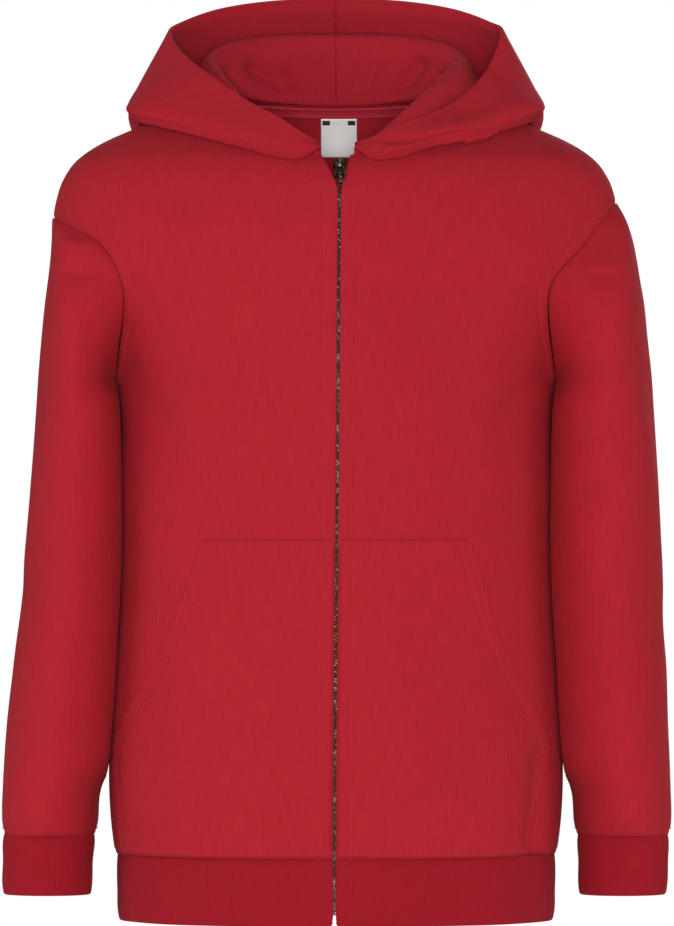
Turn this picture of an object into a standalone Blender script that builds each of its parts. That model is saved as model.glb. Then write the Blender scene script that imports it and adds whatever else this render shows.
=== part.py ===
"""A child's zip-up hooded sweatshirt, filled out as if worn, with its hood down.

Metres, +Z up. The wearer faces -Y, so +X is the wearer's left. The origin lies midway between the two
high points of the shoulders, and a drop is a distance below it. An angle turns round the body from
centre front (0) past the wearer's left (90 degrees) to centre back (180), and below 0 past the right.
"""

import bisect
import functools
import math
from collections import namedtuple

import bmesh
import bpy
from mathutils import Matrix, Vector

GARMENT, CUTTERS = "Kids hoodie", "Cutters"
LEFT, RIGHT = 1, -1
SIDE_NAMES = {LEFT: "left", RIGHT: "right"}
QUARTER_TURN = math.pi / 2

SEAM_GAP = 0.0003
MERGE_DISTANCE = 1e-6
SLOPE_STEP = 1e-4
CLEARING_ROUNDS = 6
BODY_WALL = 0.002
RIB_WALL = 0.003
HOOD_OUTER_WALL = 0.0012
HOOD_LINING_WALL = 0.0010

# The body's level sections: half its width, and how far it reaches in front of and behind the side seams.
BodySection = namedtuple("BodySection", "drop half_width front back")
BODY_SECTIONS = (
    BodySection(0.0000, 0.0750, 0.0200, 0.0400),
    BodySection(0.0040, 0.0845, 0.0275, 0.0470),
    BodySection(0.0100, 0.0980, 0.0355, 0.0575),
    BodySection(0.0180, 0.1150, 0.0425, 0.0655),
    BodySection(0.0270, 0.1340, 0.0515, 0.0723),
    BodySection(0.0340, 0.1500, 0.0600, 0.0768),
    BodySection(0.0400, 0.1610, 0.0670, 0.0800),
    BodySection(0.0475, 0.1710, 0.0740, 0.0838),
    BodySection(0.0600, 0.1800, 0.0820, 0.0880),
    BodySection(0.0740, 0.1848, 0.0872, 0.0910),
    BodySection(0.0860, 0.1868, 0.0908, 0.0930),
    BodySection(0.1000, 0.1865, 0.0943, 0.0946),
    BodySection(0.1150, 0.1830, 0.0970, 0.0960),
    BodySection(0.1350, 0.1690, 0.0997, 0.0973),
    BodySection(0.1550, 0.1570, 0.1015, 0.0980),
    BodySection(0.1750, 0.1490, 0.1028, 0.0982),
    BodySection(0.2000, 0.1440, 0.1040, 0.0980),
    BodySection(0.2700, 0.1430, 0.1063, 0.0950),
    BodySection(0.3000, 0.1428, 0.1070, 0.0940),
    BodySection(0.3400, 0.1442, 0.1080, 0.0941),
    BodySection(0.4000, 0.1480, 0.1090, 0.0950),
    BodySection(0.4300, 0.1495, 0.1095, 0.0965),
    BodySection(0.4570, 0.1500, 0.1100, 0.0978),
    BodySection(0.4850, 0.1485, 0.1093, 0.0980),
    BodySection(0.5050, 0.1460, 0.1080, 0.0970),
)
BODY_HEM = BODY_SECTIONS[-1].drop

# Soft troughs that run down the cloth: where, how wide, from which drop to which, and how deep.
Fold = namedtuple("Fold", "angle width top bottom depth")
FOLDS = (
    Fold(math.radians(64), 0.13, 0.400, 0.620, 0.0032),
    Fold(math.radians(-57), 0.16, 0.120, 0.300, 0.0022),
    Fold(math.radians(56), 0.15, 0.110, 0.280, 0.0026),
    Fold(math.radians(128), 0.20, 0.330, 0.600, 0.0024),
    Fold(math.radians(-136), 0.18, 0.360, 0.610, 0.0020),
)

# The neckline: half its width at each drop.
NECK_HALF_WIDTH = 0.075
NeckSection = namedtuple("NeckSection", "drop half_width")
FRONT_NECK = (
    NeckSection(0.0000, 0.0750),
    NeckSection(0.0050, 0.0735),
    NeckSection(0.0120, 0.0700),
    NeckSection(0.0200, 0.0655),
    NeckSection(0.0280, 0.0580),
    NeckSection(0.0360, 0.0440),
    NeckSection(0.0420, 0.0280),
    NeckSection(0.0462, 0.0105),
)
BACK_NECK = (
    NeckSection(0.0000, 0.0750),
    NeckSection(0.0020, 0.0690),
    NeckSection(0.0040, 0.0600),
    NeckSection(0.0060, 0.0460),
    NeckSection(0.0075, 0.0230),
    NeckSection(0.0080, 0.0000),
)

# The zip's line, and how far each front's edge stands from it.
ZipSection = namedtuple("ZipSection", "drop middle gap_right gap_left")
ZIP_SECTIONS = (
    ZipSection(0.0462, 0.0026, 0.0131, 0.0079),
    ZipSection(0.0500, 0.0026, 0.0105, 0.0066),
    ZipSection(0.0580, 0.0025, 0.0062, 0.0047),
    ZipSection(0.0660, 0.0024, 0.0028, 0.0026),
    ZipSection(0.0720, 0.0023, 0.0021, 0.0021),
    ZipSection(0.2200, 0.0013, 0.0021, 0.0021),
    ZipSection(0.4000, -0.0003, 0.0021, 0.0021),
    ZipSection(0.5050, -0.0010, 0.0021, 0.0021),
)

# An armhole is a lens round the side: the half depth of its upper end, and that of its lower end.
Armhole = namedtuple("Armhole", "top widest bottom high low")
ARMHOLES = {
    RIGHT: Armhole(0.086, 0.125, 0.192, 0.070, 0.038),
    LEFT: Armhole(0.076, 0.125, 0.192, 0.060, 0.040),
}
ARMHOLE_BACK_SHARE = 0.95
SLEEVE_CAP_SHARE = 0.78

PocketEdge = namedtuple("PocketEdge", "drop right left")
POCKET_EDGES = (
    PocketEdge(0.298, 0.0850, 0.0860),
    PocketEdge(0.308, 0.0892, 0.0895),
    PocketEdge(0.330, 0.0970, 0.0955),
    PocketEdge(0.360, 0.1085, 0.1050),
    PocketEdge(0.390, 0.1232, 0.1185),
    PocketEdge(0.415, 0.1375, 0.1315),
    PocketEdge(0.432, 0.1440, 0.1388),
    PocketEdge(0.445, 0.1445, 0.1385),
    PocketEdge(0.475, 0.1430, 0.1335),
    PocketEdge(0.505, 0.1405, 0.1280),
)
POCKET_TOP = POCKET_EDGES[0].drop
POCKET_COLUMNS = 5
SHARE_ABOVE_POCKET = 0.415
TAPE_COLUMN_SHARE = 0.3

FRONT_COLUMNS = 8
BACK_COLUMNS = 6
SIDE_CROWDING = 1.3
BODY_DROPS = (
    0.0006, 0.002, 0.004, 0.006, 0.0075, 0.008, 0.014, 0.021, 0.029, 0.037, 0.042, 0.0462, 0.050,
    0.056, 0.062, 0.068, 0.076, 0.0782, 0.081, 0.086, 0.0882, 0.091, 0.097, 0.105, 0.116, 0.128,
    0.142, 0.158, 0.172, 0.183, 0.190, 0.192, 0.205, 0.230, 0.260, 0.298, 0.315, 0.335, 0.360,
    0.385, 0.410, 0.430, 0.445, 0.475, 0.505,
)

SleeveSection = namedtuple("SleeveSection", "drop outer_right outer_left inner front back")
SLEEVE_SECTIONS = (
    SleeveSection(0.0760, 0.1855, 0.1857, 0.1465, 0.054, 0.054),
    SleeveSection(0.0860, 0.1873, 0.1912, 0.1465, 0.056, 0.056),
    SleeveSection(0.1000, 0.1878, 0.1960, 0.1465, 0.059, 0.058),
    SleeveSection(0.1130, 0.1887, 0.1987, 0.1465, 0.0617, 0.060),
    SleeveSection(0.1270, 0.1903, 0.2010, 0.1465, 0.0635, 0.061),
    SleeveSection(0.1400, 0.1920, 0.2033, 0.1465, 0.065, 0.0616),
    SleeveSection(0.1660, 0.1947, 0.2060, 0.1465, 0.066, 0.0615),
    SleeveSection(0.1920, 0.1970, 0.2090, 0.1465, 0.066, 0.060),
    SleeveSection(0.2060, 0.1980, 0.2100, 0.1430, 0.0655, 0.059),
    SleeveSection(0.2320, 0.2001, 0.2120, 0.1400, 0.0642, 0.057),
    SleeveSection(0.2600, 0.2025, 0.2140, 0.1385, 0.0625, 0.0548),
    SleeveSection(0.3000, 0.2055, 0.2155, 0.1385, 0.061, 0.051),
    SleeveSection(0.3400, 0.2090, 0.2170, 0.1400, 0.060, 0.048),
    SleeveSection(0.3800, 0.2130, 0.2185, 0.1430, 0.0588, 0.0444),
    SleeveSection(0.4200, 0.2175, 0.2195, 0.1475, 0.0568, 0.0405),
    SleeveSection(0.4570, 0.2200, 0.2210, 0.1530, 0.054, 0.037),
    SleeveSection(0.4920, 0.2205, 0.2215, 0.1574, 0.0465, 0.032),
)
SLEEVE_COLUMNS = 16
SLEEVE_SEAM_STEP = 0.0005
SLEEVE_CAP_RISE = 0.0014
SLEEVE_BODY_CLEARANCE = 0.0018
SLEEVE_RING_DROPS = (
    0.192, 0.205, 0.230, 0.260, 0.295, 0.330, 0.365, 0.400, 0.430, 0.457, 0.477, 0.492,
)

CuffSection = namedtuple("CuffSection", "drop outer_right outer_left inner_right inner_left half_depth")
CUFF_SECTIONS = (
    CuffSection(0.4925, 0.2192, 0.2192, 0.1592, 0.1595, 0.0300),
    CuffSection(0.5100, 0.2198, 0.2192, 0.1604, 0.1599, 0.0297),
    CuffSection(0.5300, 0.2196, 0.2180, 0.1614, 0.1604, 0.0290),
    CuffSection(0.5330, 0.2188, 0.2172, 0.1620, 0.1611, 0.0282),
)
CUFF_MIDDLE_Y = -0.0075
CUFF_COLUMNS = 16

WAISTBAND_SECTIONS = (
    BodySection(0.5055, 0.1435, 0.1065, 0.0955),
    BodySection(0.5120, 0.1440, 0.1068, 0.0958),
    BodySection(0.5290, 0.1438, 0.1066, 0.0957),
    BodySection(0.5455, 0.1430, 0.1060, 0.0950),
    BodySection(0.5490, 0.1418, 0.1049, 0.0940),
)
WAISTBAND_HALF_GAP = 0.0024
WAISTBAND_COLUMNS = 30

# The hood's section at each angle: its turning points after the seam, each as a distance out from the
# neckline and a height above the origin, in millimetres. The cloth rises to the roll, drops to the trough
# and on to the fold at the bottom of the bag, and comes up over the belly to the hood's open edge.
MILLIMETRE = 0.001
HoodSection = namedtuple(
    "HoodSection",
    "angle roll_out roll_up trough_out trough_up fold_out fold_up belly_out belly_up edge_out edge_up",
)
HOOD_FRONT_RIGHT = (
    HoodSection(8.5, 1.0, -43.5, 3.5, -42.5, 7.5, -42.5, 10.3, -40.2, 9.5, -38.8),
    HoodSection(16, 2.0, -40.0, 7.0, -43.5, 12.0, -49.5, 17.0, -42.0, 12.0, -31.0),
    HoodSection(25, 2.0, -37.0, 8.0, -42.0, 14.0, -48.5, 19.5, -40.0, 10.0, -23.0),
    HoodSection(40, 1.5, -28.0, 9.0, -35.0, 19.0, -42.0, 24.5, -31.0, 9.0, -13.0),
    HoodSection(60, 1.0, -6.0, 13.0, -22.0, 34.0, -33.5, 40.0, -22.0, 16.0, 4.0),
    HoodSection(80, 4.0, 10.0, 20.0, -6.0, 54.0, -24.5, 60.0, -12.0, 26.0, 20.0),
)
HOOD_FRONT_LEFT = (
    HoodSection(8.5, 1.0, -43.5, 3.5, -42.5, 7.5, -42.5, 10.3, -40.2, 9.5, -38.8),
    HoodSection(16, 2.0, -40.0, 7.0, -43.5, 12.0, -49.5, 17.0, -43.0, 12.0, -35.0),
    HoodSection(25, 2.0, -31.0, 8.0, -40.0, 14.5, -49.0, 20.0, -40.0, 11.0, -28.0),
    HoodSection(40, 1.5, -16.0, 10.0, -28.0, 20.0, -42.0, 26.0, -31.0, 15.0, -20.0),
    HoodSection(60, 1.0, 1.0, 12.0, -20.0, 32.0, -35.5, 38.0, -22.0, 18.0, -8.0),
    HoodSection(80, 2.0, 13.0, 22.0, -4.0, 52.0, -24.5, 60.0, -12.0, 26.0, 10.0),
)
HOOD_BACK = (
    HoodSection(100, 9.0, 19.0, 25.0, -5.0, 57.0, -23.0, 63.5, -9.0, 38.0, 37.0),
    HoodSection(120, 8.0, 28.0, 34.0, -14.0, 68.0, -44.0, 80.0, -22.0, 44.0, 46.0),
    HoodSection(140, 8.0, 33.0, 39.0, -32.0, 69.0, -94.0, 86.0, -42.0, 46.0, 56.0),
    HoodSection(160, 8.0, 35.5, 39.0, -46.0, 66.0, -134.0, 88.0, -56.0, 48.0, 62.0),
    HoodSection(180, 8.0, 36.0, 38.0, -50.0, 65.0, -145.0, 88.0, -62.0, 50.0, 64.0),
)
# How far the two flanks of the fold stand from its middle and above it.
FoldSection = namedtuple("FoldSection", "angle reach rise")
HOOD_FOLDS = (
    FoldSection(8.5, 3.0, 0.2),
    FoldSection(16, 4.8, 4.0),
    FoldSection(30, 5.6, 5.0),
    FoldSection(180, 6.2, 6.0),
)
# Where along the section the seam, the roll, the trough, the fold's three points, the belly and the edge lie.
HOOD_STATIONS = (0.0, 0.12, 0.30, 0.49, 0.55, 0.61, 0.74, 1.0)
HOOD_SHARES = (
    0.0, 0.04, 0.08, 0.12, 0.165, 0.23, 0.31, 0.40, 0.465, 0.505, 0.535, 0.565, 0.595, 0.64, 0.72,
    0.85, 1.0,
)
HOOD_ANGLES = (8.5, 12, 16, 21, 27, 36, 48, 62, 76, 90, 103, 115, 126, 137, 150, 165, 180)
HOOD_SEAM_GAP = 0.0008
HOOD_LAYER_GAP = 0.0004
HOOD_BODY_CLEARANCE = 0.0036
HOOD_SETTLED_SHARE = 0.15

NECK_TAPE_INSET = 0.0028
NECK_TAPE_HEIGHT = 0.008
NECK_TAPE_WALL = 0.001
NECK_TAPE_ANGLES = tuple(math.radians(105 + 15 * step) for step in range(11))
LABEL_MIDDLE_X = 0.001
LABEL_WIDTH = 0.023
LABEL_DROPS = (0.0192, 0.026, 0.033, 0.040, 0.0455)
LABEL_INSET = 0.0038
LABEL_WALL = 0.0006
LABEL_COLUMNS = 3

ZIP_TAPE_WIDTH = 0.012
ZIP_TAPE_WALL = 0.0008
ZIP_TAPE_EDGE_STEP = 0.0006
CHAIN_TOP = 0.0565
CHAIN_WIDTH = 0.0034
CHAIN_WALL = 0.0021
BOX_TOP = 0.5408
ZIP_BOX_SIZE = Vector((0.0040, 0.0028, 0.0078))
ZIP_BOX_STAND = 0.0006

SLIDER_DROP = 0.054
SLIDER_TOP_WIDTH = 0.0092
SLIDER_FOOT_WIDTH = 0.0064
SLIDER_LENGTH = 0.0112
SLIDER_WALL = 0.0014
SLIDER_FACE_STAND = 0.0003
SLIDER_BACK_DEPTH = 0.0043
POST_WIDTH = 0.0024
POST_TOP, POST_FOOT = 0.0050, 0.0016
BAIL_WIDTH = 0.0020
BAIL_TOP, BAIL_FOOT = 0.0056, -0.0028
BAIL_STAND = 0.0017
BAIL_WALL = 0.0008
# How far pieces that are joined run into each other, and how far a face is set in from its neighbour's.
JOIN_LAP = 0.0004
FACE_STEP = 0.00003
TAB_BAR_HEIGHT = -0.0012
TAB_BAR_WALL = 0.0010
TAB_WALL = 0.0011
TAB_WIDTH = 0.0054
TAB_FOOT = -0.0078
EYE_FOOT = -0.0042
EYE_WIDTH = 0.0030
RING_RADIUS = 0.0034
RING_WIRE = 0.0011
RING_HEIGHT = -0.0098
RING_SEGMENTS = 24

Finish = namedtuple("Finish", "colour roughness metallic")
RED = Finish((0.413, 0.0193, 0.0307, 1.0), 0.9, 0.0)
RIB_RED = Finish((0.337, 0.0116, 0.0212, 1.0), 0.9, 0.0)
LINING_RED = Finish((0.330, 0.0160, 0.0270, 1.0), 0.9, 0.0)
LABEL_WHITE = Finish((0.78, 0.77, 0.74, 1.0), 0.7, 0.0)
BRASS = Finish((0.230, 0.160, 0.085, 1.0), 0.42, 1.0)


def spline(table, at):
    """The table's columns after its first, on a smooth curve through the rows, where the first is `at`."""
    knots = [row[0] for row in table]
    at = min(max(at, knots[0]), knots[-1])
    start = min(max(bisect.bisect_right(knots, at) - 1, 0), len(knots) - 2)

    def slope(row, column):
        before, after = max(row - 1, 0), min(row + 1, len(knots) - 1)
        rises = [
            (table[high][column] - table[low][column], knots[high] - knots[low])
            for low, high in ((before, row), (row, after))
            if high > low
        ]
        if len(rises) == 1:
            return rises[0][0] / rises[0][1]
        (rise_before, run_before), (rise_after, run_after) = rises
        return (rise_before / run_before * run_after + rise_after / run_after * run_before) / (
            run_before + run_after
        )

    run = knots[start + 1] - knots[start]
    share = (at - knots[start]) / run
    smooth = share * share * (3 - 2 * share)
    values = []
    for column in range(1, len(table[0])):
        low, high = table[start][column], table[start + 1][column]
        bend = share * (1 - share) * run
        bend *= (1 - share) * slope(start, column) - share * slope(start + 1, column)
        values.append(low + (high - low) * smooth + bend)
    return values


def blend(table, at):
    """The table's columns after its first, on straight lines between the rows, where the first is `at`."""
    knots = [row[0] for row in table]
    at = min(max(at, knots[0]), knots[-1])
    start = min(max(bisect.bisect_right(knots, at) - 1, 0), len(knots) - 2)
    share = (at - knots[start]) / (knots[start + 1] - knots[start])
    return [low + (high - low) * share for low, high in zip(table[start][1:], table[start + 1][1:])]


# The body's surface


@functools.lru_cache(maxsize=None)
def body_section(drop):
    return BodySection(drop, *spline(BODY_SECTIONS, drop))


def fold_depth(drop, angle):
    """How far the soft troughs sink the cloth here."""
    depth = 0.0
    for fold in FOLDS:
        share = (drop - fold.top) / (fold.bottom - fold.top)
        if 0 < share < 1:
            across = math.exp(-(((angle - fold.angle) / fold.width) ** 2))
            depth += fold.depth * across * math.sin(math.pi * share) ** 2
    return depth


def body_point(drop, angle):
    section = body_section(drop)
    depth = section.front if math.cos(angle) > 0 else section.back
    shrink = 1 - fold_depth(drop, angle) / depth
    return Vector(
        (
            shrink * section.half_width * math.sin(angle),
            -shrink * depth * math.cos(angle),
            -drop,
        )
    )


def body_normal(drop, angle):
    """The direction straight out of the body's surface."""
    step = SLOPE_STEP
    here = body_point(drop, angle)
    around = body_point(drop, angle + step) - here
    down = body_point(drop + step, angle) - here
    return down.cross(around).normalized()


def lifted(drop, angle, lift):
    """A point of the body's surface moved straight out by `lift`."""
    return body_point(drop, angle) + lift * body_normal(drop, angle)


def body_gap(point):
    """Roughly how far a point lies outside the body's surface, and the direction straight out."""

    def reach(x, y, drop):
        section = body_section(drop)
        return math.hypot(x / section.half_width, y / (section.front if y < 0 else section.back))

    step = SLOPE_STEP
    x, y, drop = point.x, point.y, -point.z
    here = reach(x, y, drop)
    slope = Vector(
        (
            reach(x + step, y, drop) - here,
            reach(x, y + step, drop) - here,
            reach(x, y, drop - step) - here,
        )
    )
    slope /= step
    return (here - 1) / slope.length, slope.normalized()


def clear_of_body(point, clearance):
    """Moves a point out until it is this far outside the body."""
    for _ in range(CLEARING_ROUNDS):
        if point.z > 0:
            break
        gap, direction = body_gap(point)
        if gap >= clearance:
            break
        point = point + (clearance - gap) * direction
    return point


def angle_at(drop, x):
    """The angle on the front where the body's surface has this distance from the middle plane."""
    return math.asin(min(max(x / body_section(drop).half_width, -1.0), 1.0))


def zip_edge(side, drop):
    """How far a front's zip edge lies towards its own side from the middle plane."""
    middle, gap_right, gap_left = blend(ZIP_SECTIONS, drop)
    return side * middle + (gap_left if side == LEFT else gap_right)


def armhole_half_depth(side, drop):
    """How far the armhole reaches in front of the side seam."""
    hole = ARMHOLES[side]
    share = (drop - hole.top) / (hole.bottom - hole.top)
    if not 0 < share < 1:
        return 0.0
    return 2 * math.sqrt(share * (1 - share)) * (hole.high + (hole.low - hole.high) * share)


def armhole_angles(side, drop, step=0.0):
    """The armhole's front and back edges as angles from centre front, moved into the hole by `step`."""
    section = body_section(drop)
    half_depth = min(armhole_half_depth(side, drop - step), armhole_half_depth(side, drop + step))
    half_depth = max(half_depth - step, 0.0)
    front = math.acos(min(half_depth / section.front, 1.0))
    back = math.pi - math.acos(min(ARMHOLE_BACK_SHARE * half_depth / section.back, 1.0))
    return front, back


def steps(start, end, count, crowding=1.0):
    """`count` + 1 values from start to end, even or crowded towards the start."""
    return [start + (end - start) * (step / count) ** crowding for step in range(count + 1)]


def pocket_edge_angle(side, drop):
    right, left = spline(POCKET_EDGES, drop)
    return angle_at(drop, left if side == LEFT else right)


def front_angles(side, drop):
    """A front's columns at this drop, from the neckline or zip edge to the armhole or side seam."""
    if drop < FRONT_NECK[-1].drop:
        start = angle_at(drop, blend(FRONT_NECK, drop)[0])
    else:
        start = angle_at(drop, zip_edge(side, drop))
    end = armhole_angles(side, drop)[0]
    if drop < POCKET_TOP:
        guide = start + SHARE_ABOVE_POCKET * (end - start)
    else:
        guide = pocket_edge_angle(side, drop)
    tape = angle_at(drop, body_section(drop).half_width * math.sin(start) + ZIP_TAPE_WIDTH)
    tape = min(tape, start + TAPE_COLUMN_SHARE * (guide - start))
    over_pocket = steps(tape, guide, POCKET_COLUMNS - 1)
    beside_pocket = steps(end, guide, FRONT_COLUMNS - POCKET_COLUMNS, SIDE_CROWDING)
    return [start] + over_pocket[:-1] + beside_pocket[::-1]


def back_angles(side, drop):
    """A half back's columns at this drop, from the armhole or side seam to the neckline or centre back."""
    start = armhole_angles(side, drop)[1]
    end = math.pi
    if drop < BACK_NECK[-1].drop:
        end -= angle_at(drop, blend(BACK_NECK, drop)[0])
    return steps(start, end, BACK_COLUMNS, SIDE_CROWDING)


def quarter(side, columns_at, drops):
    """Points from the bottom up, each row turning from centre front towards the wearer's left."""
    rows = []
    for drop in sorted(drops, reverse=True):
        angles = sorted(side * angle for angle in columns_at(side, drop))
        rows.append([body_point(drop, angle) for angle in angles])
    return rows


# Blender objects


def start_scene():
    """Clears the scene and makes one collection for the garment and one for the cutters."""
    for obj in list(bpy.data.objects):
        bpy.data.objects.remove(obj, do_unlink=True)
    for name in (GARMENT, CUTTERS):
        bpy.context.scene.collection.children.link(bpy.data.collections.new(name))


def add_mesh(name, mesh, collection=GARMENT):
    """Makes an object of a bmesh, in the named collection."""
    data = bpy.data.meshes.new(name)
    mesh.to_mesh(data)
    mesh.free()
    obj = bpy.data.objects.new(name, data)
    bpy.data.collections[collection].objects.link(obj)
    if collection == CUTTERS:
        obj.hide_render = True
        obj.display_type = "WIRE"
    return obj


def paint(obj, finish):
    """Gives an object its own material."""
    material = bpy.data.materials.new(obj.name)
    material.use_nodes = True
    surface = material.node_tree.nodes["Principled BSDF"]
    surface.inputs["Base Color"].default_value = finish.colour
    surface.inputs["Roughness"].default_value = finish.roughness
    surface.inputs["Metallic"].default_value = finish.metallic
    obj.data.materials.append(material)
    return obj


def cloth(name, grids, wall, finish, lift=0.0):
    """Joins grids of points, each laid from the bottom up, to one sheet and gives it a wall.

    The wall's outer face lies `lift` outside the points, and the rest of the wall inside that face.
    """
    mesh = bmesh.new()
    for rows in grids:
        made = bmesh.ops.create_grid(mesh, x_segments=len(rows[0]) - 1, y_segments=len(rows) - 1, size=1.0)
        for vertex, point in zip(made["verts"], [point for row in rows for point in row]):
            vertex.co = point
    bmesh.ops.remove_doubles(mesh, verts=mesh.verts, dist=MERGE_DISTANCE)
    bmesh.ops.triangulate(mesh, faces=mesh.faces, quad_method="SHORT_EDGE")
    obj = paint(add_mesh(name, mesh), finish)
    thicken = obj.modifiers.new("Wall", "SOLIDIFY")
    thicken.thickness = wall
    thicken.offset = 2 * lift / wall - 1
    return obj


def block(name, low, high, collection=CUTTERS):
    """A box between two corners."""
    mesh = bmesh.new()
    bmesh.ops.create_cube(mesh, size=1.0)
    low, high = Vector(low), Vector(high)
    for vertex in mesh.verts:
        vertex.co = Vector([a + (b - a) * (c + 0.5) for a, b, c in zip(low, high, vertex.co)])
    return add_mesh(name, mesh, collection)


def add_boolean(obj, other, operation):
    modifier = obj.modifiers.new(operation.title(), "BOOLEAN")
    modifier.operation = operation
    modifier.solver = "EXACT"
    modifier.object = other
    return obj


def keep_half(obj, axis, side):
    """Keeps what lies on one side of a middle plane, half a seam's gap clear of it."""
    low, high = [-1.0, -1.0, -1.0], [1.0, 1.0, 1.0]
    if side > 0:
        low[axis] = SEAM_GAP / 2
    else:
        high[axis] = -SEAM_GAP / 2
    return add_boolean(obj, block(obj.name + "_space", low, high), "INTERSECT")


# Body, pockets, waistband


def build_body():
    """The two fronts and the back. Each is cut from a sheet that runs on past the side seam."""
    for side in (RIGHT, LEFT):
        grids = [quarter(side, columns, BODY_DROPS) for columns in (front_angles, back_angles)]
        keep_half(cloth("front_" + SIDE_NAMES[side], grids, BODY_WALL, RED), 1, -1)
    grids = [
        quarter(side, columns, BODY_DROPS)
        for side in (RIGHT, LEFT)
        for columns in (front_angles, back_angles)
    ]
    keep_half(cloth("back", grids, BODY_WALL, RED), 1, 1)


def pocket_angles(side, drop):
    return front_angles(side, drop)[: POCKET_COLUMNS + 1]


def build_pockets():
    drops = [drop for drop in BODY_DROPS if drop >= POCKET_TOP]
    for side in (RIGHT, LEFT):
        rows = quarter(side, pocket_angles, drops)
        cloth("pocket_" + SIDE_NAMES[side], [rows], BODY_WALL, RED, SEAM_GAP + BODY_WALL)


def waistband_edge_angle(side, section):
    middle = side * ZIP_SECTIONS[-1].middle
    return math.asin((middle + WAISTBAND_HALF_GAP) / section.half_width)


def build_waistband():
    """One strip of rib from zip to zip."""
    rows = []
    for section in reversed(WAISTBAND_SECTIONS):
        start = waistband_edge_angle(LEFT, section)
        end = 2 * math.pi - waistband_edge_angle(RIGHT, section)
        row = []
        for angle in steps(start, end, WAISTBAND_COLUMNS):
            depth = section.front if math.cos(angle) > 0 else section.back
            x, y = section.half_width * math.sin(angle), -depth * math.cos(angle)
            row.append(Vector((x, y, -section.drop)))
        rows.append(row)
    cloth("waistband", [rows], RIB_WALL, RIB_RED)


# Sleeves and cuffs


def cap_depth(side, drop, full_depth, widest_depth):
    """How deep the oval is that a sleeve follows beside the armhole."""
    hole = ARMHOLES[side]
    if drop < hole.widest:
        share = (drop - hole.top) / (hole.widest - hole.top)
        return widest_depth * (SLEEVE_CAP_SHARE + (1 - SLEEVE_CAP_SHARE) * share)
    share = (drop - hole.widest) / (hole.bottom - hole.widest)
    return widest_depth + (full_depth - widest_depth) * math.sin(QUARTER_TURN * share)


def sleeve_arcs(side, drop):
    """The front and back arcs of a sleeve's section, from its outer side: middle, half width, depth, turn."""
    outer_right, outer_left, inner, *depths = spline(SLEEVE_SECTIONS, drop)
    outer = outer_left if side == LEFT else outer_right
    hole = ARMHOLES[side]
    if drop >= hole.bottom:
        return [((outer + inner) / 2, (outer - inner) / 2, depth, math.pi) for depth in depths]
    arcs = []
    angles = armhole_angles(side, drop, SLEEVE_SEAM_STEP)
    for angle, depth, share in zip(angles, depths, (1.0, ARMHOLE_BACK_SHARE)):
        end = lifted(drop, angle, SEAM_GAP)
        widest = share * armhole_half_depth(side, hole.widest)
        depth = max(cap_depth(side, drop, depth, widest), abs(end.y))
        turn = math.asin(abs(end.y) / depth)
        if drop > hole.widest:
            turn = math.pi - turn
        half_width = (outer - end.x) / (1 - math.cos(turn))
        arcs.append((outer - half_width, half_width, depth, turn))
    return arcs


def sleeve_row(side, drop):
    """A sleeve's level section: a ring below the armhole, and within it an arc round the outer side."""
    row = []
    front, back = sleeve_arcs(side, drop)
    for column in range(SLEEVE_COLUMNS + 1):
        share = 2 * column / SLEEVE_COLUMNS - 1
        middle, half_width, depth, turn = front if share < 0 else back
        x = side * (middle + half_width * math.cos(share * turn))
        point = Vector((x, depth * math.sin(share * turn), -drop))
        row.append(clear_of_body(point, SLEEVE_BODY_CLEARANCE) if drop > ARMHOLES[side].bottom else point)
    return row if side == LEFT else row[::-1]


def build_sleeves():
    for side in (RIGHT, LEFT):
        top, bottom = ARMHOLES[side].top + SLEEVE_SEAM_STEP, ARMHOLES[side].bottom
        cap = [drop for drop in BODY_DROPS if top < drop < bottom]
        rows = [sleeve_row(side, drop) for drop in reversed(cap + list(SLEEVE_RING_DROPS))]
        reach = abs(rows[-1][0].y)
        for point in rows[-1]:
            point.z += SLEEVE_CAP_RISE * (1 - min(abs(point.y) / reach, 1.0))
        cloth("sleeve_" + SIDE_NAMES[side], [rows], BODY_WALL, RED)


def build_cuffs():
    for side in (RIGHT, LEFT):
        rows = []
        for section in reversed(CUFF_SECTIONS):
            outer = section.outer_left if side == LEFT else section.outer_right
            inner = section.inner_left if side == LEFT else section.inner_right
            row = []
            for turn in steps(-math.pi, math.pi, CUFF_COLUMNS):
                x = side * (outer + inner) / 2 + (outer - inner) / 2 * math.cos(turn)
                row.append(Vector((x, CUFF_MIDDLE_Y + section.half_depth * math.sin(turn), -section.drop)))
            rows.append(row)
        cloth("cuff_" + SIDE_NAMES[side], [rows], RIB_WALL, RIB_RED)


# Hood


def mirrored(section):
    return section._replace(angle=360 - section.angle)


HOOD_SECTIONS = (
    HOOD_FRONT_LEFT
    + HOOD_BACK
    + tuple(mirrored(section) for section in reversed(HOOD_FRONT_RIGHT + HOOD_BACK[:-1]))
)


def neck_point(angle):
    """The neckline's point at this angle."""
    x = NECK_HALF_WIDTH * abs(math.sin(angle))
    table = FRONT_NECK if math.cos(angle) > 0 else BACK_NECK
    drop = blend([(row.half_width, row.drop) for row in reversed(table)], x)[0]
    surface_angle = angle_at(drop, x)
    if math.cos(angle) <= 0:
        surface_angle = math.pi - surface_angle
    return body_point(drop, math.copysign(surface_angle, math.sin(angle)))


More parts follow.
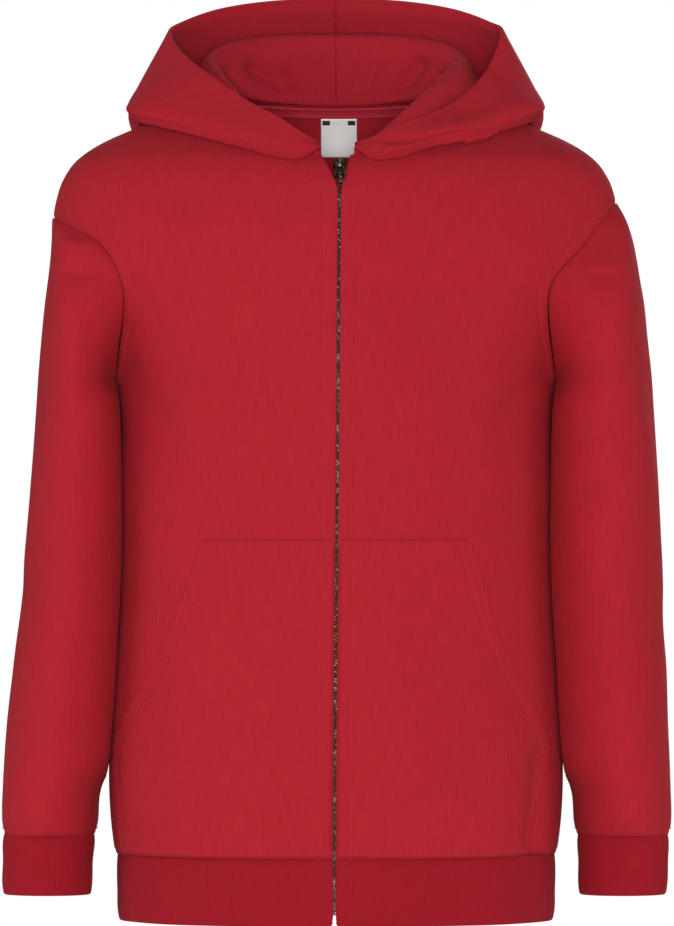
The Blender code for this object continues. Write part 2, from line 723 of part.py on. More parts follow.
def hood_point(angle, share):
    """The hood's outer face at this angle and this share of the way from the neck seam to its edge."""
    base = neck_point(angle)
    degrees = math.degrees(angle)
    turns = [MILLIMETRE * size for size in spline(HOOD_SECTIONS, degrees)]
    reach, rise = [MILLIMETRE * size for size in blend(HOOD_FOLDS, min(degrees, 360 - degrees))]
    places = [(0.0, base.z + HOOD_SEAM_GAP)] + list(zip(turns[::2], turns[1::2]))
    fold_out, fold_up = places[3]
    places[3:4] = [
        (fold_out - reach, fold_up + rise),
        (fold_out, fold_up),
        (fold_out + reach, fold_up + rise),
    ]
    stations = [(station, *place) for station, place in zip(HOOD_STATIONS, places)]
    out, up = spline(stations, share)
    point = Vector((base.x + out * math.sin(angle), base.y - out * math.cos(angle), up))
    return point if share < HOOD_SETTLED_SHARE else clear_of_body(point, HOOD_BODY_CLEARANCE)


def build_hood():
    """An outer hood and its lining, each of two halves that meet in the middle."""
    angles = [math.radians(angle) for angle in HOOD_ANGLES]
    angles += [2 * math.pi - angle for angle in reversed(angles[:-1])]
    rows = [[hood_point(angle, share) for angle in angles] for share in HOOD_SHARES]
    layers = (
        ("hood_outer", HOOD_OUTER_WALL, RED, 0.0),
        ("hood_lining", HOOD_LINING_WALL, LINING_RED, -HOOD_OUTER_WALL - HOOD_LAYER_GAP),
    )
    for layer, wall, finish, lift in layers:
        for side in (RIGHT, LEFT):
            keep_half(cloth(f"{layer}_{SIDE_NAMES[side]}", [rows], wall, finish, lift), 0, side)


# Neck tape, label and zip


def build_neck_tape():
    """The tape that covers the neck seam inside the back."""
    rows = []
    for height in (1.0, 0.5, 0.0):
        row = []
        for angle in NECK_TAPE_ANGLES:
            drop = -neck_point(angle).z + SEAM_GAP + height * NECK_TAPE_HEIGHT
            row.append(lifted(drop, angle, -NECK_TAPE_INSET))
        rows.append(row)
    cloth("neck_tape", [rows], NECK_TAPE_WALL, RIB_RED)


def build_label():
    """A bare label that hangs from the neck tape."""
    rows = []
    for drop in reversed(LABEL_DROPS):
        across = steps(LABEL_MIDDLE_X + LABEL_WIDTH / 2, LABEL_MIDDLE_X - LABEL_WIDTH / 2, LABEL_COLUMNS)
        rows.append([lifted(drop, math.pi - angle_at(drop, x), -LABEL_INSET) for x in across])
    cloth("label", [rows], LABEL_WALL, LABEL_WHITE)


def tape_angles(side, drop):
    """The part of a front's first strip that its zip tape backs."""
    edge, tape = front_angles(side, drop)[:2]
    return angle_at(drop, zip_edge(side, drop) + ZIP_TAPE_EDGE_STEP), max(tape, edge)


def build_zip_tapes():
    """A tape behind each front's zip edge."""
    drops = [drop for drop in BODY_DROPS if drop >= FRONT_NECK[-1].drop]
    for side in (RIGHT, LEFT):
        rows = quarter(side, tape_angles, drops)
        cloth("zip_tape_" + SIDE_NAMES[side], [rows], ZIP_TAPE_WALL, RIB_RED, -BODY_WALL - SEAM_GAP)


def chain_drops():
    """The chain's rows, down over the body and the waistband to the box."""
    body = [drop for drop in BODY_DROPS if CHAIN_TOP < drop < BODY_HEM]
    waistband = [section.drop for section in WAISTBAND_SECTIONS if section.drop < BOX_TOP]
    return [CHAIN_TOP, *body, BODY_HEM, *waistband[1:], BOX_TOP]


def zip_line_point(drop, across):
    """A point of the closed zip, `across` to the wearer's left of its line."""
    x = blend(ZIP_SECTIONS, drop)[0] + across
    if drop <= BODY_HEM:
        return body_point(drop, angle_at(drop, x))
    width, front, _ = spline(WAISTBAND_SECTIONS, drop)
    return Vector((x, -front * math.cos(math.asin(x / width)), -drop))


def build_zip_chain():
    across = (-CHAIN_WIDTH / 2, 0.0, CHAIN_WIDTH / 2)
    rows = [[zip_line_point(drop, x) for x in across] for drop in reversed(chain_drops())]
    cloth("zip_chain", [rows], CHAIN_WALL, BRASS)


def build_zip_box():
    """The box that holds the zip's foot."""
    foot = zip_line_point(WAISTBAND_SECTIONS[-1].drop, 0.0)
    low = Vector((foot.x - ZIP_BOX_SIZE.x / 2, foot.y - ZIP_BOX_STAND, foot.z))
    paint(block("zip_box", low, low + ZIP_BOX_SIZE, GARMENT), BRASS)


def slider_frame():
    """A frame on the zip's line: its Z runs up the cloth and its -Y straight out of it."""
    angle = angle_at(SLIDER_DROP, blend(ZIP_SECTIONS, SLIDER_DROP)[0])
    out = body_normal(SLIDER_DROP, 0.0)
    tilt = math.atan2(out.z, -out.y)
    return Matrix.Translation(body_point(SLIDER_DROP, angle)) @ Matrix.Rotation(-tilt, 4, "X")


def joined_blocks(name, boxes):
    """One piece of several boxes, the first of which carries the others."""
    first, *rest = boxes
    piece = block(name, *first, GARMENT)
    others = [block(f"{name}_{index}", low, high) for index, (low, high) in enumerate(rest)]
    for other in others:
        add_boolean(piece, other, "UNION")
    return piece, others


def build_slider():
    """The slider's two plates on their post, with the bail that holds the pull tab."""
    end, top, bail = SLIDER_LENGTH / 2, SLIDER_TOP_WIDTH / 2, BAIL_WIDTH / 2
    face = -SLIDER_FACE_STAND - SLIDER_WALL
    inner, back = SLIDER_BACK_DEPTH - SLIDER_WALL, SLIDER_BACK_DEPTH
    bail_face = face - BAIL_STAND - BAIL_WALL
    slider, others = joined_blocks(
        "zip_slider",
        (
            ((-top, face, -end), (top, -SLIDER_FACE_STAND, end)),
            ((-top, inner, -end), (top, back, end)),
            ((-POST_WIDTH / 2, face + JOIN_LAP, POST_FOOT), (POST_WIDTH / 2, back - JOIN_LAP, POST_TOP)),
            ((-bail, bail_face, BAIL_TOP - BAIL_WALL), (bail, face + JOIN_LAP, BAIL_TOP)),
            ((-bail, bail_face, BAIL_FOOT), (bail, face + JOIN_LAP, BAIL_FOOT + BAIL_WALL)),
            ((-bail, bail_face, BAIL_FOOT), (bail, bail_face + BAIL_WALL, BAIL_TOP)),
        ),
    )
    for plate in (slider, others[0]):
        for vertex in plate.data.vertices:
            if vertex.co.z < 0:
                vertex.co.x *= SLIDER_FOOT_WIDTH / SLIDER_TOP_WIDTH
    for piece in (slider, *others):
        piece.matrix_world = slider_frame()
    paint(slider, BRASS)


def disc(name, radius, depth):
    mesh = bmesh.new()
    bmesh.ops.create_cone(
        mesh, cap_ends=True, segments=RING_SEGMENTS, radius1=radius, radius2=radius, depth=depth
    )
    return add_mesh(name, mesh, CUTTERS)


def build_pull_tab():
    """The pull tab, hung on the bail by the bar across its eye. Its origin is that bar's middle."""
    bar_y = -SLIDER_FACE_STAND - SLIDER_WALL - BAIL_STAND / 2
    bar, edge, eye, wall = TAB_BAR_WALL / 2, TAB_WIDTH / 2, EYE_WIDTH / 2, TAB_WALL / 2
    foot, eye_foot = TAB_FOOT - TAB_BAR_HEIGHT, EYE_FOOT - TAB_BAR_HEIGHT
    cheek = bar - FACE_STEP
    tab, others = joined_blocks(
        "pull_tab",
        (
            ((-edge, -bar, -bar), (edge, bar, bar)),
            ((-edge, -cheek, eye_foot), (-eye, cheek, cheek)),
            ((eye, -cheek, eye_foot), (edge, cheek, cheek)),
            ((-edge, -wall, foot), (edge, wall, eye_foot + JOIN_LAP)),
        ),
    )
    ring = disc("pull_tab_ring", RING_RADIUS + RING_WIRE, TAB_WALL - 2 * FACE_STEP)
    hole = disc("pull_tab_hole", RING_RADIUS, 2 * TAB_WALL)
    add_boolean(tab, ring, "UNION")
    add_boolean(tab, hole, "DIFFERENCE")
    frame = slider_frame() @ Matrix.Translation((0.0, bar_y, TAB_BAR_HEIGHT))
    for piece in (tab, *others):
        piece.matrix_world = frame
    lowered = Matrix.Translation((0.0, 0.0, RING_HEIGHT - TAB_BAR_HEIGHT))
    for piece in (ring, hole):
        piece.matrix_world = frame @ lowered @ Matrix.Rotation(QUARTER_TURN, 4, "X")
    paint(tab, BRASS)


def main():
    start_scene()
    build_body()
    build_pockets()
    build_waistband()
    build_sleeves()
    build_cuffs()
    build_hood()
    build_neck_tape()
    build_label()
    build_zip_tapes()
    build_zip_chain()
    build_zip_box()
    build_slider()
    build_pull_tab()


main()
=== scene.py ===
"""Dresses a child's zip-up hooded sweatshirt: its cloth with folds and seams, its zip, label and stage.

Metres, +Z up. The wearer faces -Y, so +X is the wearer's left. The origin lies midway between the high
points of the shoulders, and a drop is a distance below it. An angle turns round the body from centre
front (0) past the wearer's left to centre back (half a turn). Every panel is a grid of points whose rows
run from the bottom up and whose columns run anticlockwise seen from above, so its outer face looks out.
"""

import bisect
import logging
import math
from dataclasses import dataclass, field
from enum import Enum

import bmesh
import bpy
import numpy as np
from mathutils import Matrix, Vector

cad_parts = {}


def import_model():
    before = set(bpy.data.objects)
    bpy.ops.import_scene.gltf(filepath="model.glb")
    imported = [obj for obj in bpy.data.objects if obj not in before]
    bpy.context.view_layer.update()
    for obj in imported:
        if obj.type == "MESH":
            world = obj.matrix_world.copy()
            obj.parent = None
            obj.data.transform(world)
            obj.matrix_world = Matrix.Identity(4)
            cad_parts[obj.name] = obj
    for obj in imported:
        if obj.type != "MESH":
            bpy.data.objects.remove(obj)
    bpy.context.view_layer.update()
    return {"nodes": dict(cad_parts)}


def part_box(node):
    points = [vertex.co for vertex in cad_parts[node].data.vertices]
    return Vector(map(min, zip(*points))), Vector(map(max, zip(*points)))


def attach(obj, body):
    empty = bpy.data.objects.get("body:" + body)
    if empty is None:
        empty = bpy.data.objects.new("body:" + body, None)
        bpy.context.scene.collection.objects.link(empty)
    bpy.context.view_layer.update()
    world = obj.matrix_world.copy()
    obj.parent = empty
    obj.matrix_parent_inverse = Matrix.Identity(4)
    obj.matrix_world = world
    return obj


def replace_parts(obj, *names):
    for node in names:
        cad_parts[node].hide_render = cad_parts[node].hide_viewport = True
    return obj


LOG = logging.getLogger("hoodie")
Row = tuple[float, ...]
Table = tuple[Row, ...]
HALF_TURN = math.pi
QUARTER_TURN = math.pi / 2
MILLIMETRE = 0.001
SEAM_RUN = 0.014  # how far from a sewn edge creases reach their full depth
STITCH_SINK = 0.0005  # how deep a line of stitches lies
STITCH_LIFT = 0.0001  # how far stitches that aren't pressed in stand off the cloth


class Side(Enum):
    """The wearer's sides, each with its sign along X."""

    LEFT = 1
    RIGHT = -1

    @property
    def edges(self) -> tuple["Edge", "Edge"]:
        """A panel's edge nearer centre front on this side, then the one farther from it."""
        return (Edge.FIRST, Edge.LAST) if self is Side.LEFT else (Edge.LAST, Edge.FIRST)

    def of(self, piece: str) -> str:
        """The name of this side's piece."""
        return f"{piece}_{self.name.lower()}"


class Edge(Enum):
    """The four edges of a panel's grid."""

    FIRST = "first column"
    LAST = "last column"
    BOTTOM = "bottom row"
    TOP = "top row"

    @property
    def axis(self) -> int:
        """The grid axis that runs away from this edge."""
        return 1 if self in (Edge.FIRST, Edge.LAST) else 0

    @property
    def at_end(self) -> bool:
        """Whether the edge is the last line along its axis."""
        return self in (Edge.LAST, Edge.TOP)


class Seen(Enum):
    """The direction from which a crease is laid out, as the axis that it ignores."""

    SIDE = 0
    FRONT = 1


def curved(table: Table, at: float) -> list[float]:
    """Reads a table on a smooth curve through its rows.

    Args:
        table: rows that start with the value they stand at, in rising order.
        at: where to read it.

    Returns:
        The other columns' values there.
    """
    knots = [row[0] for row in table]
    at = min(max(at, knots[0]), knots[-1])
    start = min(max(bisect.bisect_right(knots, at) - 1, 0), len(knots) - 2)

    def slope(row: int, column: int) -> float:
        """The curve's slope at a row, from its neighbours' rises."""
        before, after = max(row - 1, 0), min(row + 1, len(knots) - 1)
        spans = [(low, high) for low, high in ((before, row), (row, after)) if high > low]
        rises = [table[high][column] - table[low][column] for low, high in spans]
        runs = [knots[high] - knots[low] for low, high in spans]
        if len(spans) == 1:
            return rises[0] / runs[0]
        return (rises[0] / runs[0] * runs[1] + rises[1] / runs[1] * runs[0]) / (runs[0] + runs[1])

    run = knots[start + 1] - knots[start]
    share = (at - knots[start]) / run
    smooth = share * share * (3 - 2 * share)
    values = []
    for column in range(1, len(table[0])):
        low, high = table[start][column], table[start + 1][column]
        bend = (1 - share) * slope(start, column) - share * slope(start + 1, column)
        values.append(low + (high - low) * smooth + share * (1 - share) * run * bend)
    return values


def straight(table: Table, at: np.ndarray | float, column: int = 1) -> np.ndarray:
    """Reads one column of a table on straight lines between its rows."""
    return np.interp(at, [row[0] for row in table], [row[column] for row in table])


def eased(low: float, high: float, at: np.ndarray | float) -> np.ndarray:
    """A smooth step from 0 at `low` to 1 at `high`."""
    share = np.clip((np.asarray(at) - low) / (high - low), 0.0, 1.0)
    return share * share * (3 - 2 * share)


def unit(vectors: np.ndarray) -> np.ndarray:
    """The vectors scaled to length 1."""
    return vectors / np.maximum(np.linalg.norm(vectors, axis=-1, keepdims=True), 1e-12)


def bell(distance: np.ndarray, width: float) -> np.ndarray:
    """1 at no distance, fading softly to nothing within a few widths."""
    return np.exp(-((distance / width) ** 2))


# Finishes


class Graph:
    """Adds nodes to a tree and links them as they are named."""

    def __init__(self, tree: bpy.types.NodeTree) -> None:
        """Takes the tree to fill."""
        self.tree = tree

    def add(self, kind: str, inputs: dict | None = None, **settings: object) -> bpy.types.Node:
        """Adds a node.

        Args:
            kind: the node's type.
            inputs: sockets by name or number, each a value or another node's output.
            **settings: the node's own properties.

        Returns:
            The node.
        """
        node = self.tree.nodes.new(kind)
        for name, value in settings.items():
            setattr(node, name, value)
        for key, value in (inputs or {}).items():
            if isinstance(value, bpy.types.NodeSocket):
                self.tree.links.new(value, node.inputs[key])
            else:
                node.inputs[key].default_value = value
        return node

    def math(self, operation: str, *values: object) -> bpy.types.NodeSocket:
        """The result of a Math node on these values."""
        return self.add("ShaderNodeMath", dict(enumerate(values)), operation=operation).outputs[0]

    def mix(self, factor: object, low: object, high: object, **settings: object) -> bpy.types.NodeSocket:
        """A colour between two, whose sockets are a Mix node's inputs 6 and 7 and its output 2."""
        inputs = {"Factor": factor, 6: low, 7: high}
        return self.add("ShaderNodeMix", inputs, data_type="RGBA", **settings).outputs[2]

    def noise(self, place: bpy.types.NodeSocket, scale: object, detail: float = 2.0) -> bpy.types.NodeSocket:
        """The value of a noise texture."""
        inputs = {"Vector": place, "Scale": scale, "Detail": detail}
        return self.add("ShaderNodeTexNoise", inputs).outputs[0]

    def bump(self, distance: float, strength: float, height: object, **under: object) -> bpy.types.NodeSocket:
        """A normal tilted by a height, over a `Normal` that may lie under it."""
        inputs = {"Distance": distance, "Strength": strength, "Height": height, **under}
        return self.add("ShaderNodeBump", inputs).outputs[0]


def shader_group(name: str, inputs: dict[str, float | None], outputs: tuple[str, ...]) -> tuple:
    """Starts a shader node group.

    Args:
        name: the group's name.
        inputs: its inputs' defaults, None for a vector.
        outputs: its outputs' names, all plain values.

    Returns:
        The group, a Graph on it, and its input and output nodes.
    """
    group = bpy.data.node_groups.new(name, "ShaderNodeTree")
    for key, value in inputs.items():
        kind = "NodeSocketVector" if value is None else "NodeSocketFloat"
        socket = group.interface.new_socket(name=key, in_out="INPUT", socket_type=kind)
        if value is not None:
            socket.default_value = value
    for key in outputs:
        group.interface.new_socket(name=key, in_out="OUTPUT", socket_type="NodeSocketFloat")
    graph = Graph(group)
    return group, graph, graph.add("NodeGroupInput"), graph.add("NodeGroupOutput")


def wale_group() -> bpy.types.NodeTree:
    """The ridges that run down a knit: even wales, broken by streaks of slacker and tighter yarn."""
    if "Wales" in bpy.data.node_groups:
        return bpy.data.node_groups["Wales"]
    inputs = {"Vector": None, "Pitch": 0.0016, "Streak Width": 0.0014, "Streak Length": 0.015}
    group, graph, source, sink = shader_group("Wales", inputs, ("Height", "Streak"))
    across = graph.add("ShaderNodeSeparateXYZ", {0: source.outputs["Vector"]})
    turns = graph.math("DIVIDE", across.outputs["X"], source.outputs["Pitch"])
    wale = graph.math("SINE", graph.math("MULTIPLY", turns, 2 * HALF_TURN))
    fine = graph.math("DIVIDE", across.outputs["X"], source.outputs["Streak Width"])
    long = graph.math("DIVIDE", across.outputs["Y"], source.outputs["Streak Length"])
    place = graph.add("ShaderNodeCombineXYZ", {"X": fine, "Y": long})
    streak = graph.noise(place.outputs[0], 1.0, 3.0)
    ridge = graph.math("MULTIPLY_ADD", wale, 0.25, 0.5)
    height = graph.math("ADD", ridge, graph.math("MULTIPLY", streak, 0.8))
    graph.tree.links.new(height, sink.inputs["Height"])
    graph.tree.links.new(streak, sink.inputs["Streak"])
    return group


def fuzz_group() -> bpy.types.NodeTree:
    """The nap of soft yarn, with the broad uneven tone of dyed cloth."""
    if "Fuzz" in bpy.data.node_groups:
        return bpy.data.node_groups["Fuzz"]
    inputs = {"Vector": None, "Fineness": 900.0, "Patch Scale": 14.0}
    group, graph, source, sink = shader_group("Fuzz", inputs, ("Height", "Tone"))
    place = source.outputs["Vector"]
    graph.tree.links.new(graph.noise(place, source.outputs["Fineness"]), sink.inputs["Height"])
    graph.tree.links.new(graph.noise(place, source.outputs["Patch Scale"], 3.0), sink.inputs["Tone"])
    return group


def knit_groups(graph: Graph, pitch: float) -> tuple:
    """The outputs of the wales, laid out by a piece's own cloth map in metres, and of its nap."""
    place = graph.add("ShaderNodeTexCoord").outputs
    wale_inputs = {"Vector": place["UV"], "Pitch": pitch}
    wales = graph.add("ShaderNodeGroup", wale_inputs, node_tree=wale_group())
    fuzz = graph.add("ShaderNodeGroup", {"Vector": place["Object"]}, node_tree=fuzz_group())
    return wales.outputs, fuzz.outputs


Colour = tuple[float, float, float]
KNIT_SURFACE = {"Specular IOR Level": 0.12, "Sheen Roughness": 0.5, "Sheen Tint": (1.0, 0.3, 0.3, 1.0)}


def scaled(colour: Colour, factor: float) -> tuple[float, float, float, float]:
    """A colour made lighter or darker, with full alpha."""
    return (colour[0] * factor, colour[1] * factor, colour[2] * factor, 1.0)


@dataclass(frozen=True)
class Finish:
    """What every finish has: a name, a colour and a way to become a material."""

    name: str
    colour: Colour

    def material(self) -> bpy.types.Material:
        """The finish's material, made the first time it is asked for."""
        if self.name in bpy.data.materials:
            return bpy.data.materials[self.name]
        material = bpy.data.materials.new(self.name)
        material.use_nodes = True
        material.node_tree.nodes.clear()
        graph = Graph(material.node_tree)
        surface = graph.add("ShaderNodeBsdfPrincipled", self.surface(graph))
        graph.add("ShaderNodeOutputMaterial", {"Surface": surface.outputs[0]})
        return material

    def surface(self, graph: Graph) -> dict[str, object]:
        """What the surface's inputs are fed. Each kind of finish has its own way."""
        raise NotImplementedError


@dataclass(frozen=True)
class KnitFinish(Finish):
    """Knitted cloth with lengthwise wales and a soft nap."""

    pitch: float = 0.0019
    wale_depth: float = 0.00034
    nap_depth: float = 0.0002
    nap_strength: float = 0.35
    streak_tone_and_shade: float = 0.15
    patch_tone: float = 0.05
    roughness: float = 0.94
    sheen: float = 0.04

    def surface(self, graph: Graph) -> dict[str, object]:
        """Wales and nap in the height, streaks and patches in the colour. The streaks are of random tone, and
        their colour also follows their height: painted shade where they sink the cloth, painted light where
        they raise it.
        """
        wales, fuzz = knit_groups(graph, self.pitch)
        # Painted shade and light along the streaks: the noise that lifts and sinks the cloth also darkens and
        # lightens its colour.
        dark, light = scaled(self.colour, 1 - self.streak_tone_and_shade), scaled(self.colour, 1 + self.streak_tone_and_shade)
        streak = graph.mix(wales["Streak"], dark, light)
        patch = graph.math("MULTIPLY_ADD", fuzz["Tone"], 2 * self.patch_tone, 1 - self.patch_tone)
        nap = graph.bump(self.nap_depth, self.nap_strength, fuzz["Height"])
        return KNIT_SURFACE | {
            "Base Color": graph.mix(1.0, streak, patch, blend_type="MULTIPLY"),
            "Normal": graph.bump(self.wale_depth, 1.0, wales["Height"], Normal=nap),
            "Roughness": self.roughness,
            "Sheen Weight": self.sheen,
        }


@dataclass(frozen=True)
class RibFinish(Finish):
    """Rib knit: deep even ribs along the piece's length."""

    pitch: float = 0.0021
    rib_depth: float = 0.0006
    furrow_painted_shade: float = 0.74
    ridge_painted_light: float = 1.1
    roughness: float = 0.92
    sheen: float = 0.03

    def surface(self, graph: Graph) -> dict[str, object]:
        """Ribs in the height, with painted shade in the furrows between them and painted light on the ridges,
        the colour following the height.
        """
        wales, fuzz = knit_groups(graph, self.pitch)
        height = graph.math("ADD", wales["Height"], graph.math("MULTIPLY", fuzz["Height"], 0.3))
        # Painted shade and light: the colour follows the ribs' height, darker in the furrows and lighter on
        # the ridges.
        dark, light = scaled(self.colour, self.furrow_painted_shade), scaled(self.colour, self.ridge_painted_light)
        return KNIT_SURFACE | {
            "Base Color": graph.mix(wales["Height"], dark, light),
            "Normal": graph.bump(self.rib_depth, 0.8, height),
            "Roughness": self.roughness,
            "Sheen Weight": self.sheen,
        }


@dataclass(frozen=True)
class WovenFinish(Finish):
    """Plain woven tape, thread or label: threads one way and the other."""

    thread: float = 0.0005
    roughness: float = 0.75
    contrast: float = 0.12

    def surface(self, graph: Graph) -> dict[str, object]:
        """A diagonal of crossing threads in the height and the colour."""
        place = graph.add("ShaderNodeTexCoord")
        parts = graph.add("ShaderNodeSeparateXYZ", {0: place.outputs["Object"]})
        turn = 2 * HALF_TURN / self.thread
        warp = graph.math("SINE", graph.math("MULTIPLY", parts.outputs["X"], turn))
        weft = graph.math("SINE", graph.math("MULTIPLY", parts.outputs["Z"], turn))
        cross = graph.math("MULTIPLY_ADD", graph.math("MULTIPLY", warp, weft), 0.5, 0.5)
        dark, light = scaled(self.colour, 1 - self.contrast), scaled(self.colour, 1 + self.contrast)
        return {
            "Base Color": graph.mix(cross, dark, light),
            "Normal": graph.bump(0.0001, 0.5, cross),
            "Roughness": self.roughness,
            "Specular IOR Level": 0.3,
        }


@dataclass(frozen=True)
class BrassFinish(Finish):
    """Antique brass: dark in the hollows, with a brighter rub in patches."""

    rubbed: Colour = (0.62, 0.50, 0.33)
    roughness: float = 0.36

    def surface(self, graph: Graph) -> dict[str, object]:
        """A patchy rub in the colour and the roughness."""
        wear = graph.noise(graph.add("ShaderNodeTexCoord").outputs["Object"], 420.0, 3.0)
        rub = graph.add("ShaderNodeMapRange", {"Value": wear, "From Min": 0.50, "From Max": 0.78})
        return {
            "Base Color": graph.mix(rub.outputs[0], scaled(self.colour, 1.0), scaled(self.rubbed, 1.0)),
            "Roughness": graph.math("MULTIPLY_ADD", wear, 0.25, self.roughness - 0.1),
            "Metallic": 1.0,
        }


@dataclass(frozen=True)
class FloorFinish(Finish):
    """A plain pale matt floor."""

    def surface(self, graph: Graph) -> dict[str, object]:
        """A faint grain, so that it isn't dead flat."""
        grain = graph.noise(graph.add("ShaderNodeTexCoord").outputs["Object"], 30.0)
        return {
            "Base Color": graph.mix(grain, scaled(self.colour, 0.98), scaled(self.colour, 1.0)),
            "Roughness": 0.9,
        }


FLEECE = KnitFinish("red fleece knit", (0.410, 0.0145, 0.0262))
LINING = KnitFinish("hood lining knit", (0.375, 0.0140, 0.0255))
# Darker than the fleece: painted shade standing for the deeper shading of the rib.
RIB = RibFinish("red rib knit", (0.305, 0.0076, 0.0170))
# Lighter than the fleece: painted light that makes up for the shade on the tape inside the neck. The zip
# tapes are given it too.
TAPE = WovenFinish("red woven tape", (0.50, 0.0220, 0.0420), 0.0012)
THREAD = WovenFinish("red sewing thread", (0.50, 0.024, 0.038), 0.0004)
LABEL_SATIN = WovenFinish("white label satin", (0.97, 0.97, 0.95), 0.0004, 0.5, 0.02)
LABEL_INK = WovenFinish("dark woven size tab", (0.03, 0.032, 0.035), 0.0004, 0.6)
BRASS = BrassFinish("antique brass", (0.055, 0.040, 0.026), (0.42, 0.34, 0.24))
CHAIN_BRASS = BrassFinish("zip tooth brass", (0.080, 0.056, 0.040), (0.70, 0.60, 0.48))
BRIGHT_BRASS = BrassFinish("rubbed brass", (0.36, 0.31, 0.24), (0.78, 0.72, 0.62), 0.3)
FLOOR = FloorFinish("pale floor", (0.86, 0.86, 0.85))


# Pieces and panels


def dress_piece(obj: bpy.types.Object, finish: Finish, body: str = "garment") -> bpy.types.Object:
    """Gives a finished piece its material and the body that it rides on."""
    obj.data.materials.clear()
    obj.data.materials.append(finish.material())
    obj.data.shade_smooth()
    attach(obj, body)
    LOG.info("%s: %d faces", obj.name, len(obj.data.polygons))
    return obj


def linked(name: str, data: bpy.types.ID) -> bpy.types.Object:
    """Makes an object of a mesh, lamp or camera and links it to the scene."""
    obj = bpy.data.objects.new(name, data)
    bpy.context.scene.collection.objects.link(obj)
    return obj


def mesh_object(name: str, mesh: bmesh.types.BMesh) -> bpy.types.Object:
    """Makes an object of a bmesh, which it frees."""
    data = bpy.data.meshes.new(name)
    mesh.to_mesh(data)
    mesh.free()
    return linked(name, data)


@dataclass(frozen=True)
class Crease:
    """A soft trough (or, with a negative depth, a ridge) along a line, seen from one direction."""

    start: tuple[float, float]
    end: tuple[float, float]
    width: float
    depth: float
    seen: Seen = Seen.FRONT
    fade: float = 0.35

    def depth_at(self, points: np.ndarray) -> np.ndarray:
        """How deep the crease is at each point: full at its start, `fade` of that at its end."""
        plane = [axis for axis in range(3) if axis != self.seen.value]
        flat = points[..., plane]
        start, along = np.array(self.start), np.array(self.end) - np.array(self.start)
        share = np.clip(((flat - start) @ along) / (along @ along), 0.0, 1.0)
        apart = np.linalg.norm(flat - start - share[..., None] * along, axis=-1)
        return self.depth * (1 - (1 - self.fade) * share) * bell(apart, self.width)


def creases(*rows: Row, seen: Seen = Seen.FRONT) -> tuple[Crease, ...]:
    """Creases from rows: start across and up, end across and up, width, depth and, if unusual, fade."""
    return tuple(Crease(row[:2], row[2:4], row[4], row[5], seen, *row[6:]) for row in rows)


def distance_to(points: np.ndarray, line: np.ndarray) -> np.ndarray:
    """How far each point lies, in space, from the nearest place on a line."""
    nearest = np.full(points.shape[:-1], np.inf)
    for start, step in zip(line[:-1], np.diff(line, axis=0)):
        share = np.clip((points - start) @ step / max(step @ step, 1e-12), 0.0, 1.0)
        nearest = np.minimum(nearest, np.linalg.norm(points - start - share[..., None] * step, axis=-1))
    return nearest


def between(line: np.ndarray, top: float, bottom: float = math.inf) -> np.ndarray:
    """The part of a line that lies below one drop and above another."""
    return line[(line[:, 2] < -top) & (line[:, 2] > -bottom)]


def level(x: np.ndarray, y: np.ndarray, drop: float) -> np.ndarray:
    """A row of points that all lie at one drop."""
    return np.stack([x, y, np.full_like(x, -drop)], axis=1)


def grid_normals(points: np.ndarray) -> np.ndarray:
    """The direction out of a grid's surface at each of its points."""
    return unit(np.cross(np.gradient(points, axis=1), np.gradient(points, axis=0)))


